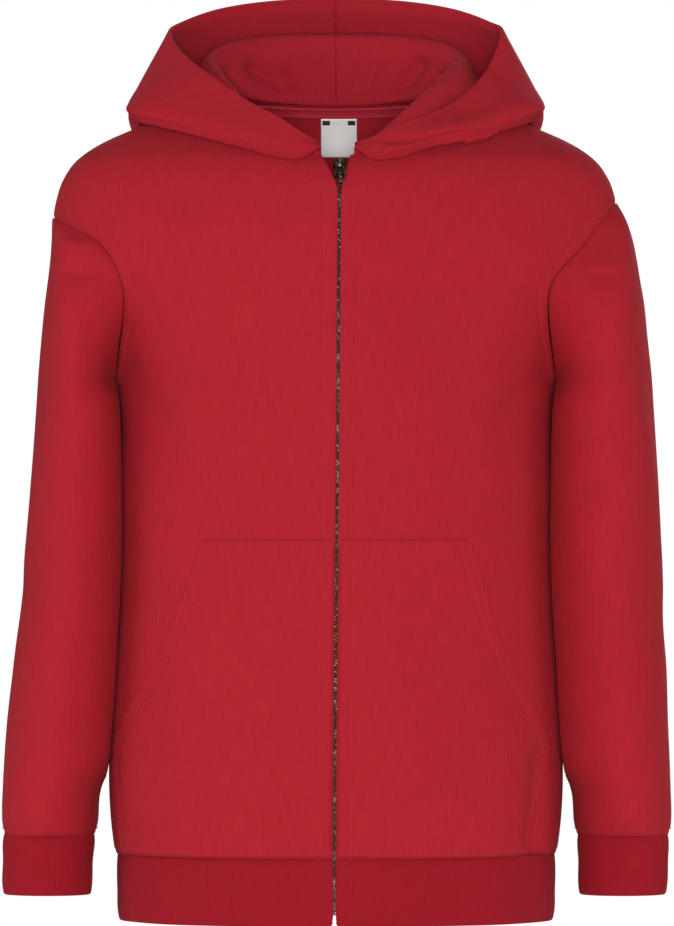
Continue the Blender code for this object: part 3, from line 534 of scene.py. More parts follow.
@dataclass
class Panel:
    """A cut piece of cloth, as the grid of points of its outer face."""

    name: str
    points: np.ndarray
    wall: float
    finish: Finish = FLEECE
    slot: str = "shell_fleece"
    grain_column: int = 0
    facing: np.ndarray | None = None
    longest_step: float = 0.012
    relief: np.ndarray = field(init=False)

    def __post_init__(self) -> None:
        """Starts with no relief."""
        self.relief = np.zeros(self.points.shape[:2])

    def distance_from(self, edge: Edge) -> np.ndarray:
        """How far each point lies from an edge, measured over the cloth along its grid line."""
        steps = np.linalg.norm(np.diff(self.points, axis=edge.axis), axis=2)
        zero = np.zeros_like(np.take(steps, [0], axis=edge.axis))
        run = np.concatenate([zero, np.cumsum(steps, axis=edge.axis)], axis=edge.axis)
        return np.take(run, [-1], axis=edge.axis) - run if edge.at_end else run

    def press(self, edge: Edge, inset: float, width: float, depth: float) -> "Panel":
        """Sinks a soft line along an edge, as a row of stitches or a seam does."""
        self.relief -= depth * bell(self.distance_from(edge) - inset, width)
        return self

    def seam(self, edge: Edge, depth: float, width: float, twin: float, run: float = SEAM_RUN) -> "Panel":
        """Sinks an edge that is sewn to a neighbour, with its topstitching, and lets no crease reach it.

        Args:
            edge: the sewn edge.
            depth: how deep the seam lies.
            width: how far its groove spreads.
            twin: how far in the topstitching runs.
            run: how far from the edge the creases laid so far reach their full depth.

        Returns:
            The panel, for the next call.
        """
        apart = distance_to(self.points, np.take(self.points, -1 if edge.at_end else 0, axis=edge.axis))
        self.relief *= eased(0.0, run, apart)
        self.relief -= depth * bell(apart, width)
        self.relief -= STITCH_SINK * bell(apart - twin, 0.0018)
        return self

    def crease(self, laid: tuple[Crease, ...], run: float = 0.012) -> "Panel":
        """Lays creases into the cloth, which fade out over a short run above its bottom edge."""
        strength = eased(0.0, run, self.distance_from(Edge.BOTTOM))
        for one in laid:
            self.relief -= strength * one.depth_at(self.points)
        return self

    def settle(self) -> "Panel":
        """Moves the points by the relief laid so far, straight out of the form that they lie on."""
        facing = grid_normals(self.points) if self.facing is None else self.facing
        self.points = self.points + facing * self.relief[..., None]
        self.relief, self.facing = np.zeros(self.points.shape[:2]), None
        return self

    def turn_under(
        self, edge: Edge, radius: float | np.ndarray, back: float | np.ndarray = 0.001, steps: int = 5
    ) -> "Panel":
        """Rolls an edge round to the inside, as a hem or a folded edge.

        Args:
            edge: the edge to roll.
            radius: the roll's radius, for the whole edge or for each of its points.
            back: how far the cloth runs back inside, likewise.
            steps: how many lines the roll takes.

        Returns:
            The panel, for the next call.
        """
        self.settle()
        shape = (1, -1, 1) if edge.axis == 0 else (-1, 1, 1)
        radius, back = np.reshape(radius, shape), np.reshape(back, shape)
        last, before = (-1, -2) if edge.at_end else (0, 1)
        line = np.take(self.points, [last], axis=edge.axis)
        normal = np.take(grid_normals(self.points), [last], axis=edge.axis)
        out = unit(line - np.take(self.points, [before], axis=edge.axis))
        turns = [HALF_TURN * step / steps for step in range(1, steps + 1)]
        rolled = [line - normal * radius * (1 - math.cos(t)) + out * radius * math.sin(t) for t in turns]
        rolled.append(rolled[-1] - out * back)
        if edge.at_end:
            self.points = np.concatenate([self.points, *rolled], axis=edge.axis)
        else:
            self.points = np.concatenate([*reversed(rolled), self.points], axis=edge.axis)
            self.grain_column += len(rolled) if edge is Edge.FIRST else 0
        self.relief = np.zeros(self.points.shape[:2])
        return self

    def line_along(self, edge: Edge, inset: float, lift: float = 0.0) -> np.ndarray:
        """A line over the cloth, `inset` in from an edge and `lift` outside its face."""
        run = self.distance_from(edge)
        raised = self.points + grid_normals(self.points) * lift
        if edge.axis == 0:
            run, raised = run.T, raised.transpose(1, 0, 2)
        if edge.at_end:
            run, raised = run[:, ::-1], raised[:, ::-1]
        lines = zip(run, raised)
        return np.array([[np.interp(inset, far, line[:, axis]) for axis in range(3)] for far, line in lines])

    def build(self, rests_on: str = "shoulder_line") -> None:
        """Args:
            rests_on: what it hangs from; not used.
        """
        obj = self.shape()
        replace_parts(obj, self.name)

    def shape(self) -> bpy.types.Object:
        """Makes the panel's mesh and gives it its wall, its cloth map and its finish."""
        self.settle()
        rows, columns, _ = self.points.shape
        along = self.distance_from(Edge.FIRST)
        along = along - along[:, [self.grain_column]]
        up = self.distance_from(Edge.BOTTOM)[:, self.grain_column]
        uv = np.stack([along, np.broadcast_to(up[:, None], along.shape)], axis=2).reshape(-1, 2)
        index = np.arange(rows * columns).reshape(rows, columns)
        corners = (index[:-1, :-1], index[:-1, 1:], index[1:, 1:], index[1:, :-1])
        faces = np.stack(corners, axis=2).reshape(-1, 4)
        steps = np.linalg.norm(np.diff(self.points, axis=1), axis=2)
        faces = faces[(np.maximum(steps[:-1], steps[1:]) < self.longest_step).reshape(-1)]
        data = bpy.data.meshes.new(self.name)
        data.from_pydata(self.points.reshape(-1, 3).tolist(), [], faces.tolist())
        data.uv_layers.new(name="Cloth").data.foreach_set("uv", uv[faces.reshape(-1)].reshape(-1))
        mesh = bmesh.new()
        mesh.from_mesh(data)
        bmesh.ops.remove_doubles(mesh, verts=mesh.verts, dist=1e-6)
        bpy.data.meshes.remove(data)
        obj = mesh_object(self.name, mesh)
        thicken = obj.modifiers.new("Wall", "SOLIDIFY")
        thicken.thickness = self.wall
        thicken.offset = -1.0
        return dress_piece(obj, self.finish)


# What repeats


@dataclass
class Repeat:
    """A Geometry Nodes tree that sets a small piece along paths, each copy turned to follow its path."""

    name: str = "Repeat along paths"

    def tree(self) -> bpy.types.NodeTree:
        """The tree, with its named inputs, made the first time it is asked for."""
        if self.name in bpy.data.node_groups:
            return bpy.data.node_groups[self.name]
        tree = bpy.data.node_groups.new(self.name, "GeometryNodeTree")
        kinds = {"Paths": "Geometry", "Piece": "Object", "Spacing": "Float", "Unevenness": "Float"}
        for name, kind in (kinds | {"Material": "Material"}).items():
            tree.interface.new_socket(name=name, in_out="INPUT", socket_type="NodeSocket" + kind)
        tree.interface.new_socket(name="Pieces", in_out="OUTPUT", socket_type="NodeSocketGeometry")
        graph = Graph(tree)
        source, sink = graph.add("NodeGroupInput"), graph.add("NodeGroupOutput")
        curves = graph.add("GeometryNodeMeshToCurve", {0: source.outputs["Paths"]})
        spaced = {"Curve": curves.outputs[0], "Length": source.outputs["Spacing"]}
        even = graph.add("GeometryNodeResampleCurve", spaced, mode="LENGTH")
        piece = graph.add("GeometryNodeObjectInfo", {"Object": source.outputs["Piece"]})
        tangent = graph.add("GeometryNodeInputTangent")
        along = graph.add("FunctionNodeAlignRotationToVector", {"Vector": tangent.outputs[0]}, axis="Z")
        upright = {"Rotation": along.outputs[0], "Vector": (0.0, 1.0, 0.0)}
        facing = graph.add("FunctionNodeAlignRotationToVector", upright, axis="Y", pivot_axis="Z")
        low = graph.math("SUBTRACT", 1.0, source.outputs["Unevenness"])
        high = graph.math("ADD", 1.0, source.outputs["Unevenness"])
        size = graph.add("FunctionNodeRandomValue", {"Seed": 7, 2: low, 3: high}, data_type="FLOAT")
        placed = {
            "Points": even.outputs[0],
            "Instance": piece.outputs["Geometry"],
            "Rotation": facing.outputs[0],
            "Scale": size.outputs[1],
        }
        copies = graph.add("GeometryNodeInstanceOnPoints", placed)
        real = graph.add("GeometryNodeRealizeInstances", {0: copies.outputs[0]})
        smooth = graph.add("GeometryNodeSetShadeSmooth", {0: real.outputs[0]})
        paint = {0: smooth.outputs[0], "Material": source.outputs["Material"]}
        graph.tree.links.new(graph.add("GeometryNodeSetMaterial", paint).outputs[0], sink.inputs[0])
        return tree

    def along(
        self,
        name: str,
        paths: list[np.ndarray],
        piece: bpy.types.Object,
        spacing: float,
        finish: Finish,
        slot: str,
        unevenness: float = 0.0,
    ) -> bpy.types.Object:
        """Sets copies of a piece along paths and makes them one plain mesh.

        Args:
            name: the new object's name.
            paths: the paths, each an array of points.
            piece: the piece to repeat, its length along its own Z.
            spacing: how far apart the copies lie.
            finish: their finish.
            slot: their slot; not used.
            unevenness: how far their size may vary, as a share of it.

        Returns:
            The finished object.
        """
        starts = set(np.cumsum([len(path) for path in paths]).tolist())
        edges = [(at - 1, at) for at in range(1, max(starts)) if at not in starts]
        guide = bpy.data.meshes.new(name + "_paths")
        guide.from_pydata(np.concatenate(paths).tolist(), edges, [])
        holder = linked(name + "_paths", guide)
        modifier = holder.modifiers.new("Repeat", "NODES")
        modifier.node_group = self.tree()
        values = {"Piece": piece, "Spacing": spacing, "Unevenness": unevenness, "Material": finish.material()}
        for item in modifier.node_group.interface.items_tree:
            if item.in_out == "INPUT" and item.name in values:
                modifier[item.identifier] = values[item.name]
        graph = bpy.context.evaluated_depsgraph_get()
        plain = bpy.data.meshes.new_from_object(holder.evaluated_get(graph), depsgraph=graph)
        bpy.data.objects.remove(holder)
        bpy.data.objects.remove(piece)
        plain.name = name
        return dress_piece(linked(name, plain), finish)


@dataclass(frozen=True)
class Stitching:
    """Rows of topstitching."""

    length: float = 0.0023
    thickness: float = 0.00052
    pitch: float = 0.0031
    unevenness: float = 0.12

    def stitch(self) -> bpy.types.Object:
        """One stitch: a short plump bar of thread along Z."""
        mesh = bmesh.new()
        bmesh.ops.create_uvsphere(mesh, u_segments=6, v_segments=5, radius=0.5)
        size = Vector((self.thickness, self.thickness, self.length))
        bmesh.ops.scale(mesh, vec=size, verts=mesh.verts)
        return mesh_object("stitch", mesh)

    def sew(self, name: str, lines: list[np.ndarray], slot: str = "shell_fleece") -> bpy.types.Object:
        """Sews stitches along lines over the cloth."""
        return Repeat().along(name, lines, self.stitch(), self.pitch, THREAD, slot, self.unevenness)


STITCHING = Stitching()


# The body


@dataclass(frozen=True)
class Fold:
    """A soft trough that runs down the body: where, how wide, from which drop to which, and how deep."""

    angle: float
    width: float
    top: float
    bottom: float
    depth: float


@dataclass(frozen=True)
class Armhole:
    """An armhole's drops, and the half depth that its lens would have at each share of its height."""

    top: float
    bottom: float
    depths: Table
    widest: float = 0.125
    back_share: float = 0.95

    def half_depth(self, drop: float) -> float:
        """How far the armhole reaches in front of the side seam."""
        share = (drop - self.top) / (self.bottom - self.top)
        if not 0 < share < 1:
            return 0.0
        return float(2 * math.sqrt(share * (1 - share)) * curved(self.depths, share)[0])


@dataclass(eq=False)
class BodyForm:
    """The form that every body panel lies on: level sections, each an oval of two unlike halves."""

    # drop, half width, reach in front, reach behind
    sections: Table = (
        (0.0000, 0.0750, 0.0200, 0.0400),
        (0.0040, 0.0845, 0.0275, 0.0470),
        (0.0100, 0.0980, 0.0355, 0.0575),
        (0.0180, 0.1150, 0.0425, 0.0655),
        (0.0270, 0.1340, 0.0515, 0.0723),
        (0.0340, 0.1500, 0.0600, 0.0768),
        (0.0400, 0.1610, 0.0670, 0.0800),
        (0.0475, 0.1710, 0.0740, 0.0838),
        (0.0600, 0.1800, 0.0820, 0.0880),
        (0.0740, 0.1848, 0.0872, 0.0910),
        (0.0860, 0.1868, 0.0908, 0.0930),
        (0.1000, 0.1865, 0.0943, 0.0946),
        (0.1150, 0.1830, 0.0970, 0.0960),
        (0.1350, 0.1690, 0.0997, 0.0973),
        (0.1550, 0.1570, 0.1015, 0.0980),
        (0.1750, 0.1490, 0.1028, 0.0982),
        (0.2000, 0.1440, 0.1040, 0.0980),
        (0.2700, 0.1430, 0.1063, 0.0950),
        (0.3000, 0.1428, 0.1070, 0.0940),
        (0.3400, 0.1442, 0.1080, 0.0941),
        (0.4000, 0.1480, 0.1090, 0.0950),
        (0.4300, 0.1495, 0.1095, 0.0965),
        (0.4570, 0.1500, 0.1100, 0.0978),
        (0.4850, 0.1485, 0.1093, 0.0980),
        (0.5050, 0.1460, 0.1080, 0.0970),
    )
    folds: tuple[Fold, ...] = (
        Fold(math.radians(64), 0.13, 0.400, 0.620, 0.0032),
        Fold(math.radians(-57), 0.16, 0.120, 0.300, 0.0022),
        Fold(math.radians(56), 0.15, 0.110, 0.280, 0.0026),
        Fold(math.radians(128), 0.20, 0.330, 0.600, 0.0024),
        Fold(math.radians(-136), 0.18, 0.360, 0.610, 0.0020),
    )
    neck_half_width: float = 0.075
    # The neckline: drop, half its width
    front_neck: Table = (
        (0.0000, 0.0750),
        (0.0050, 0.0735),
        (0.0120, 0.0700),
        (0.0200, 0.0655),
        (0.0280, 0.0580),
        (0.0360, 0.0440),
        (0.0420, 0.0280),
        (0.0462, 0.0105),
    )
    back_neck: Table = (
        (0.0000, 0.0750),
        (0.0020, 0.0690),
        (0.0040, 0.0600),
        (0.0060, 0.0460),
        (0.0075, 0.0230),
        (0.0080, 0.0000),
    )
    # The zip: drop, its line, and how far each front's edge stands from it
    zip_line: Table = (
        (0.0462, 0.0026, 0.0131, 0.0079),
        (0.0500, 0.0026, 0.0105, 0.0066),
        (0.0580, 0.0025, 0.0062, 0.0047),
        (0.0660, 0.0024, 0.0029, 0.0028),
        (0.0720, 0.0023, 0.0022, 0.0022),
        (0.2200, 0.0013, 0.0022, 0.0022),
        (0.4000, -0.0003, 0.0022, 0.0022),
        (0.5050, -0.0010, 0.0022, 0.0022),
    )
    armholes: dict[Side, Armhole] = field(
        default_factory=lambda: {
            Side.RIGHT: Armhole(0.086, 0.192, ((0.0, 0.078), (1.0, 0.030))),
            Side.LEFT: Armhole(
                0.076, 0.192, ((0.0, 0.051), (0.2, 0.0525), (0.41, 0.057), (0.68, 0.048), (1.0, 0.036))
            ),
        }
    )

    def __post_init__(self) -> None:
        """Reads the smooth section curves once, every half millimetre."""
        self.drops = np.arange(0.0, self.hem + 0.0005, 0.0005)
        self.sizes_at = np.array([curved(self.sections, drop) for drop in self.drops])

    @property
    def hem(self) -> float:
        """The drop where the body meets its waistband."""
        return self.sections[-1][0]

    @property
    def neck_foot(self) -> float:
        """The drop where the neckline meets the zip."""
        return self.front_neck[-1][0]

    def sizes(self, drop: np.ndarray | float) -> list[np.ndarray]:
        """The half width and the front and back reach of the sections at these drops."""
        return [np.interp(drop, self.drops, self.sizes_at[:, column]) for column in range(3)]

    def sunk(self, drop: np.ndarray | float, angle: np.ndarray | float) -> np.ndarray:
        """How far the soft folds sink the cloth here."""
        depth = np.zeros(np.broadcast(drop, angle).shape)
        turned = (np.asarray(angle) + HALF_TURN) % (2 * HALF_TURN) - HALF_TURN
        for fold in self.folds:
            share = np.clip((np.asarray(drop) - fold.top) / (fold.bottom - fold.top), 0.0, 1.0)
            across = bell(turned - fold.angle, fold.width)
            depth = depth + fold.depth * across * np.sin(HALF_TURN * share) ** 2
        return depth

    def at(self, drop: np.ndarray | float, angle: np.ndarray | float) -> np.ndarray:
        """The points of the body's surface at these drops and angles."""
        half_width, front, back = self.sizes(drop)
        depth = np.where(np.cos(angle) > 0, front, back)
        shrink = 1 - self.sunk(drop, angle) / depth
        x = shrink * half_width * np.sin(angle)
        y = -shrink * depth * np.cos(angle)
        return np.stack(np.broadcast_arrays(x, y, -np.asarray(drop, float)), axis=-1)

    def normal(self, drop: np.ndarray | float, angle: np.ndarray | float) -> np.ndarray:
        """The directions straight out of the body's surface."""
        step = 1e-4
        here = self.at(drop, angle)
        around, down = self.at(drop, angle + step) - here, self.at(drop + step, angle) - here
        return unit(np.cross(down, around))

    def lifted(self, drop: np.ndarray | float, angle: np.ndarray | float, lift: float) -> np.ndarray:
        """Points of the surface moved straight out by `lift`."""
        return self.at(drop, angle) + lift * self.normal(drop, angle)

    def angle_at(self, drop: np.ndarray | float, x: np.ndarray | float) -> np.ndarray:
        """The angle on the front where the surface has this distance from the middle plane."""
        return np.arcsin(np.clip(x / self.sizes(drop)[0], -1.0, 1.0))

    def zip_edge(self, side: Side, drop: float) -> float:
        """How far a front's zip edge lies towards its own side from the middle plane."""
        gap = straight(self.zip_line, drop, 3 if side is Side.LEFT else 2)
        return float(side.value * straight(self.zip_line, drop) + gap)

    def armhole_angles(self, side: Side, drop: float) -> tuple[float, float]:
        """The armhole's front and back edges at this drop, as angles from centre front."""
        hole = self.armholes[side]
        half_depth = hole.half_depth(drop)
        _, front, back = self.sizes(drop)
        ahead = math.acos(min(half_depth / front, 1.0))
        behind = HALF_TURN - math.acos(min(hole.back_share * half_depth / back, 1.0))
        return ahead, behind

    def neck_points(self, angles: np.ndarray) -> np.ndarray:
        """The neckline's points at these angles."""
        x = self.neck_half_width * np.abs(np.sin(angles))
        ahead = np.cos(angles) > 0
        front, back = [[row[::-1] for row in reversed(neck)] for neck in (self.front_neck, self.back_neck)]
        drop = np.where(ahead, straight(front, x), straight(back, x))
        surface = self.angle_at(drop, x)
        return self.at(drop, np.copysign(np.where(ahead, surface, HALF_TURN - surface), np.sin(angles)))

    def clear_of(self, points: np.ndarray, clearance: np.ndarray | float) -> np.ndarray:
        """Moves points out until they are this far outside the body's surface."""

        def reach(place: np.ndarray) -> np.ndarray:
            """How far out each point lies, as a share of the section's reach there."""
            half_width, front, back = self.sizes(-place[..., 2])
            depth = np.where(place[..., 1] < 0, front, back)
            return np.hypot(place[..., 0] / half_width, place[..., 1] / depth)

        step = 1e-4
        for _ in range(6):
            here = reach(points)
            slopes = [(reach(points + step * axis) - here) / step for axis in np.eye(3)]
            slope = np.stack(slopes, axis=-1)
            gap = (here - 1) / np.linalg.norm(slope, axis=-1)
            short = np.where(points[..., 2] > 0, 0.0, np.maximum(clearance - gap, 0.0))
            points = points + short[..., None] * unit(slope)
        return points


def body_rows(form: BodyForm) -> np.ndarray:
    """The drops of the body's rows: even, and closer where an armhole or the neckline starts and ends."""
    even = np.arange(0.0006, form.hem, 0.0025)
    near = np.array((-0.0008, 0.0, 0.0003, 0.0008, 0.0015))
    ends = [hole.top + near for hole in form.armholes.values()]
    ends += [hole.bottom - near for hole in form.armholes.values()]
    neck = [[row[0] for row in table[1:]] for table in (form.front_neck, form.back_neck)]
    foot = form.neck_foot + np.arange(-0.0108, 0.0030, 0.0009)
    return np.unique(np.round(np.concatenate([even, *ends, *neck, foot, [form.hem]]), 5))


# The body's creases, from in front
FRONT_CREASES = {
    Side.RIGHT: creases(
        (-0.138, -0.186, -0.108, -0.228, 0.009, 0.0024),
        (-0.138, -0.135, -0.106, -0.122, 0.010, 0.0016),
        (-0.060, -0.150, -0.075, -0.280, 0.030, 0.0012),
        (-0.100, -0.075, -0.135, -0.110, 0.016, 0.0012),
        (-0.020, -0.110, -0.032, -0.240, 0.016, -0.0008),
    ),
    Side.LEFT: creases(
        (0.138, -0.188, 0.104, -0.222, 0.009, 0.0026),
        (0.138, -0.142, 0.104, -0.130, 0.010, 0.0018),
        (0.070, -0.170, 0.062, -0.290, 0.026, 0.0012),
        (0.133, -0.432, 0.129, -0.500, 0.0055, 0.0032, 0.8),
        (0.025, -0.130, 0.020, -0.270, 0.014, -0.0008),
    ),
}
BACK_CREASES = creases(
    (0.146, -0.196, 0.100, -0.250, 0.014, 0.0030),
    (-0.146, -0.196, -0.096, -0.262, 0.015, 0.0030),
    (0.120, -0.140, 0.070, -0.200, 0.016, 0.0016),
    (-0.124, -0.150, -0.060, -0.190, 0.018, 0.0014),
    (-0.050, -0.330, -0.062, -0.480, 0.022, 0.0016, 0.8),
    (0.038, -0.300, 0.050, -0.470, 0.024, -0.0014, 0.8),
    (0.100, -0.400, 0.092, -0.500, 0.012, 0.0018, 0.9),
)
POCKET_CREASES = {
    Side.LEFT: creases(
        (0.131, -0.440, 0.127, -0.502, 0.0060, 0.0032, 0.8),
        (0.060, -0.330, 0.075, -0.490, 0.018, 0.0012, 0.7),
    ),
    Side.RIGHT: creases(
        (-0.070, -0.350, -0.060, -0.495, 0.020, 0.0012, 0.7),
        (-0.118, -0.430, -0.108, -0.500, 0.012, 0.0012, 0.7),
    ),
}


@dataclass
class Body:
    """The two fronts, the back and the pockets."""

    form: BodyForm
    wall: float = 0.0012
    fold_radius: float = 0.0013
    front_columns: int = 84
    back_columns: int = 64
    seam_groove: float = 0.0009
    seam_width: float = 0.0016
    first_stitch: float = 0.0022
    twin_gap: float = 0.0062
    stitch_width: float = 0.0016
    topstitch_inset: float = 0.0080
    waist_inset: float = 0.0040
    waist_width: float = 0.0030
    waist_groove: float = 0.0010
    # drop, the pocket's right and left edges from the middle
    pocket_edges: Table = (
        (0.298, 0.0850, 0.0860),
        (0.308, 0.0892, 0.0895),
        (0.330, 0.0970, 0.0955),
        (0.360, 0.1085, 0.1050),
        (0.390, 0.1232, 0.1185),
        (0.415, 0.1375, 0.1315),
        (0.432, 0.1440, 0.1388),
        (0.445, 0.1445, 0.1385),
        (0.475, 0.1430, 0.1335),
        (0.505, 0.1405, 0.1280),
    )
    opening_foot: float = 0.432
    pocket_wall: float = 0.0011
    pocket_lift: float = 0.0017
    pocket_bulge: float = 0.0022
    pocket_bulge_run: tuple[float, float] = (0.004, 0.045)
    pocket_row_step: float = 0.0024
    pocket_columns: int = 88
    pocket_fold_radius: float = 0.0012
    pocket_top_stitch: float = 0.0018
    pocket_turned_run: float = 0.0050
    pocket_top_reach: float = 0.083
    ripple_height: float = 0.00035
    ripple_length: float = 0.0021
    ripple_run: tuple[float, float] = (0.006, 0.014)

    @property
    def stitch_insets(self) -> tuple[float, float]:
        """How far in from a sewn edge its twin lines of stitches run."""
        return self.first_stitch, self.first_stitch + self.twin_gap

    def turned(self, side: Side, angles: np.ndarray) -> np.ndarray:
        """Angles given for the left side, for either side and running anticlockwise."""
        return angles if side is Side.LEFT else -angles[::-1]

    def front_angles(self, side: Side, drop: float) -> np.ndarray:
        """A front's columns, from the neckline or zip edge to the armhole or side seam."""
        if drop < self.form.neck_foot:
            start = self.form.angle_at(drop, straight(self.form.front_neck, drop))
        else:
            start = self.form.angle_at(drop, self.form.zip_edge(side, drop))
        end = self.form.armhole_angles(side, drop)[0]
        return self.turned(side, np.linspace(start, end, self.front_columns))

    def back_angles(self, side: Side, drop: float) -> np.ndarray:
        """A half back's columns, from the armhole or side seam to the neckline or centre back."""
        start = self.form.armhole_angles(side, drop)[1]
        end = HALF_TURN
        if drop < self.form.back_neck[-1][0]:
            end -= float(self.form.angle_at(drop, straight(self.form.back_neck, drop)))
        return self.turned(side, np.linspace(start, end, self.back_columns))

    def panel(self, name: str, drops: np.ndarray, angles: np.ndarray, wall: float, grain: int) -> Panel:
        """A panel that lies on the body's surface at these drops and angles, one row for each drop."""
        points, facing = [make(drops[:, None], angles) for make in (self.form.at, self.form.normal)]
        return Panel(name, points, wall, FLEECE, "shell_fleece", grain, facing)

    def front(self, side: Side) -> Panel:
        """One front, with its creases and its zip edge turned under."""
        drops = body_rows(self.form)[::-1]
        zip_edge, side_edge = side.edges
        angles = np.array([self.front_angles(side, drop) for drop in drops])
        grain = 0 if side is Side.LEFT else self.front_columns - 1
        panel = self.panel(side.of("front"), drops, angles, self.wall, grain)
        panel.crease(FRONT_CREASES[side])
        panel.seam(side_edge, self.seam_groove, self.seam_width, self.stitch_insets[1])
        panel.press(zip_edge, self.topstitch_inset, self.stitch_width, STITCH_SINK)
        panel.press(Edge.BOTTOM, 0.0, self.waist_width, self.waist_groove)
        return panel.turn_under(zip_edge, self.fold_radius)

    def back(self) -> Panel:
        """The back, in one piece."""
        drops = body_rows(self.form)[::-1]
        left = [self.back_angles(Side.LEFT, drop) for drop in drops]
        right = [self.back_angles(Side.RIGHT, drop) + 2 * HALF_TURN for drop in drops]
        panel = self.panel("back", drops, np.concatenate([left, right], axis=1), self.wall, self.back_columns)
        panel.crease(BACK_CREASES)
        for edge in (Edge.FIRST, Edge.LAST):
            panel.seam(edge, self.seam_groove, self.seam_width, self.stitch_insets[1])
        return panel.press(Edge.BOTTOM, 0.0, self.waist_width, self.waist_groove)

    def pocket(self, side: Side) -> Panel:
        """One pouch pocket, a little full, laid on its front."""
        drops = np.arange(self.pocket_edges[0][0], self.form.hem, self.pocket_row_step)[::-1]
        column = 1 if side is Side.LEFT else 0
        rows, shares = [], np.linspace(0.0, 1.0, self.pocket_columns)
        for drop in drops:
            start = self.form.angle_at(drop, self.form.zip_edge(side, drop) + 0.0004)
            end = self.form.angle_at(drop, curved(self.pocket_edges, drop)[column])
            rows.append(self.turned(side, start + (end - start) * shares))
        zip_edge, mouth = side.edges
        grain = 0 if side is Side.LEFT else self.pocket_columns - 1
        panel = self.panel(side.of("pocket"), drops, np.array(rows), self.pocket_wall, grain)
        panel.relief += self.pocket_lift
        inland = np.minimum(panel.distance_from(zip_edge), panel.distance_from(mouth))
        inland = np.minimum(inland, panel.distance_from(Edge.TOP))
        panel.relief += self.pocket_bulge * eased(*self.pocket_bulge_run, inland)
        pressed = (
            (Edge.TOP, 0.0, 0.0012, 0.0006),
            (Edge.TOP, self.pocket_top_stitch, self.stitch_width, STITCH_SINK),
            (zip_edge, self.topstitch_inset, self.stitch_width, 0.0004),
            (mouth, self.stitch_insets[0], 0.0014, 0.0006),
            (mouth, self.stitch_insets[1], self.stitch_width, 0.0007),
            (Edge.BOTTOM, 0.0, self.waist_width, 0.0014),
        )
        for edge, inset, width, depth in pressed:
            panel.press(edge, inset, width, depth)
        ripples = self.ripple_height * np.sin(panel.distance_from(Edge.BOTTOM) / self.ripple_length)
        panel.relief += ripples * (1 - eased(*self.ripple_run, panel.distance_from(mouth)))
        panel.crease(POCKET_CREASES[side])
        panel.turn_under(mouth, self.pocket_fold_radius)
        return panel.turn_under(Edge.TOP, self.pocket_fold_radius)

    def armhole_lines(self, side: Side, panel: Panel, edge: Edge) -> list[np.ndarray]:
        """The twin lines of stitches beside an armhole, on a front or on the back."""
        hole = self.form.armholes[side]
        lines = [panel.line_along(edge, inset, STITCH_LIFT) for inset in self.stitch_insets]
        return [between(line, hole.top, hole.bottom) for line in lines]

    def build(self) -> None:
        """Builds the panels and their stitching."""
        fronts = {}
        for side in Side:
            front = fronts[side] = self.front(side)
            lines = self.armhole_lines(side, front, side.edges[1])
            front.build()
            STITCHING.sew(side.of("armhole_stitches"), lines)
        back = self.back()
        for side in Side:
            STITCHING.sew(side.of("back_armhole_stitches"), self.armhole_lines(side, back, side.edges[0]))
        STITCHING.sew("back_waist_stitches", [back.line_along(Edge.BOTTOM, self.waist_inset, STITCH_LIFT)])
        back.build()
        for side in Side:
            self.build_pocket(side, fronts[side])

    def build_pocket(self, side: Side, front: Panel) -> None:
        """Builds one pocket, with its stitches and those beside the zip."""
        pocket, (zip_edge, mouth) = self.pocket(side), side.edges
        top_drop, under = self.pocket_edges[0][0], self.pocket_turned_run
        first, second = (pocket.line_along(mouth, inset + under) for inset in self.stitch_insets)
        top = pocket.line_along(Edge.TOP, self.pocket_top_stitch + under)
        mouth_top, mouth_foot = top_drop + 0.002, self.opening_foot + 0.008
        sewn = [between(first, mouth_top), between(second, mouth_top, mouth_foot)]
        sewn.append(top[np.abs(top[:, 0]) < self.pocket_top_reach])
        beside_zip = between(pocket.line_along(zip_edge, self.topstitch_inset), top_drop)
        above = front.line_along(zip_edge, self.topstitch_inset + 2 * self.fold_radius + 0.0015)
        above = between(above, self.form.neck_foot + 0.004, top_drop)
        STITCHING.sew(side.of("pocket_stitches"), sewn)
        STITCHING.sew(side.of("waist_stitches"), [pocket.line_along(Edge.BOTTOM, self.waist_inset)])
        STITCHING.sew(side.of("zip_stitches"), [beside_zip, above])
        pocket.build(side.of("front"))


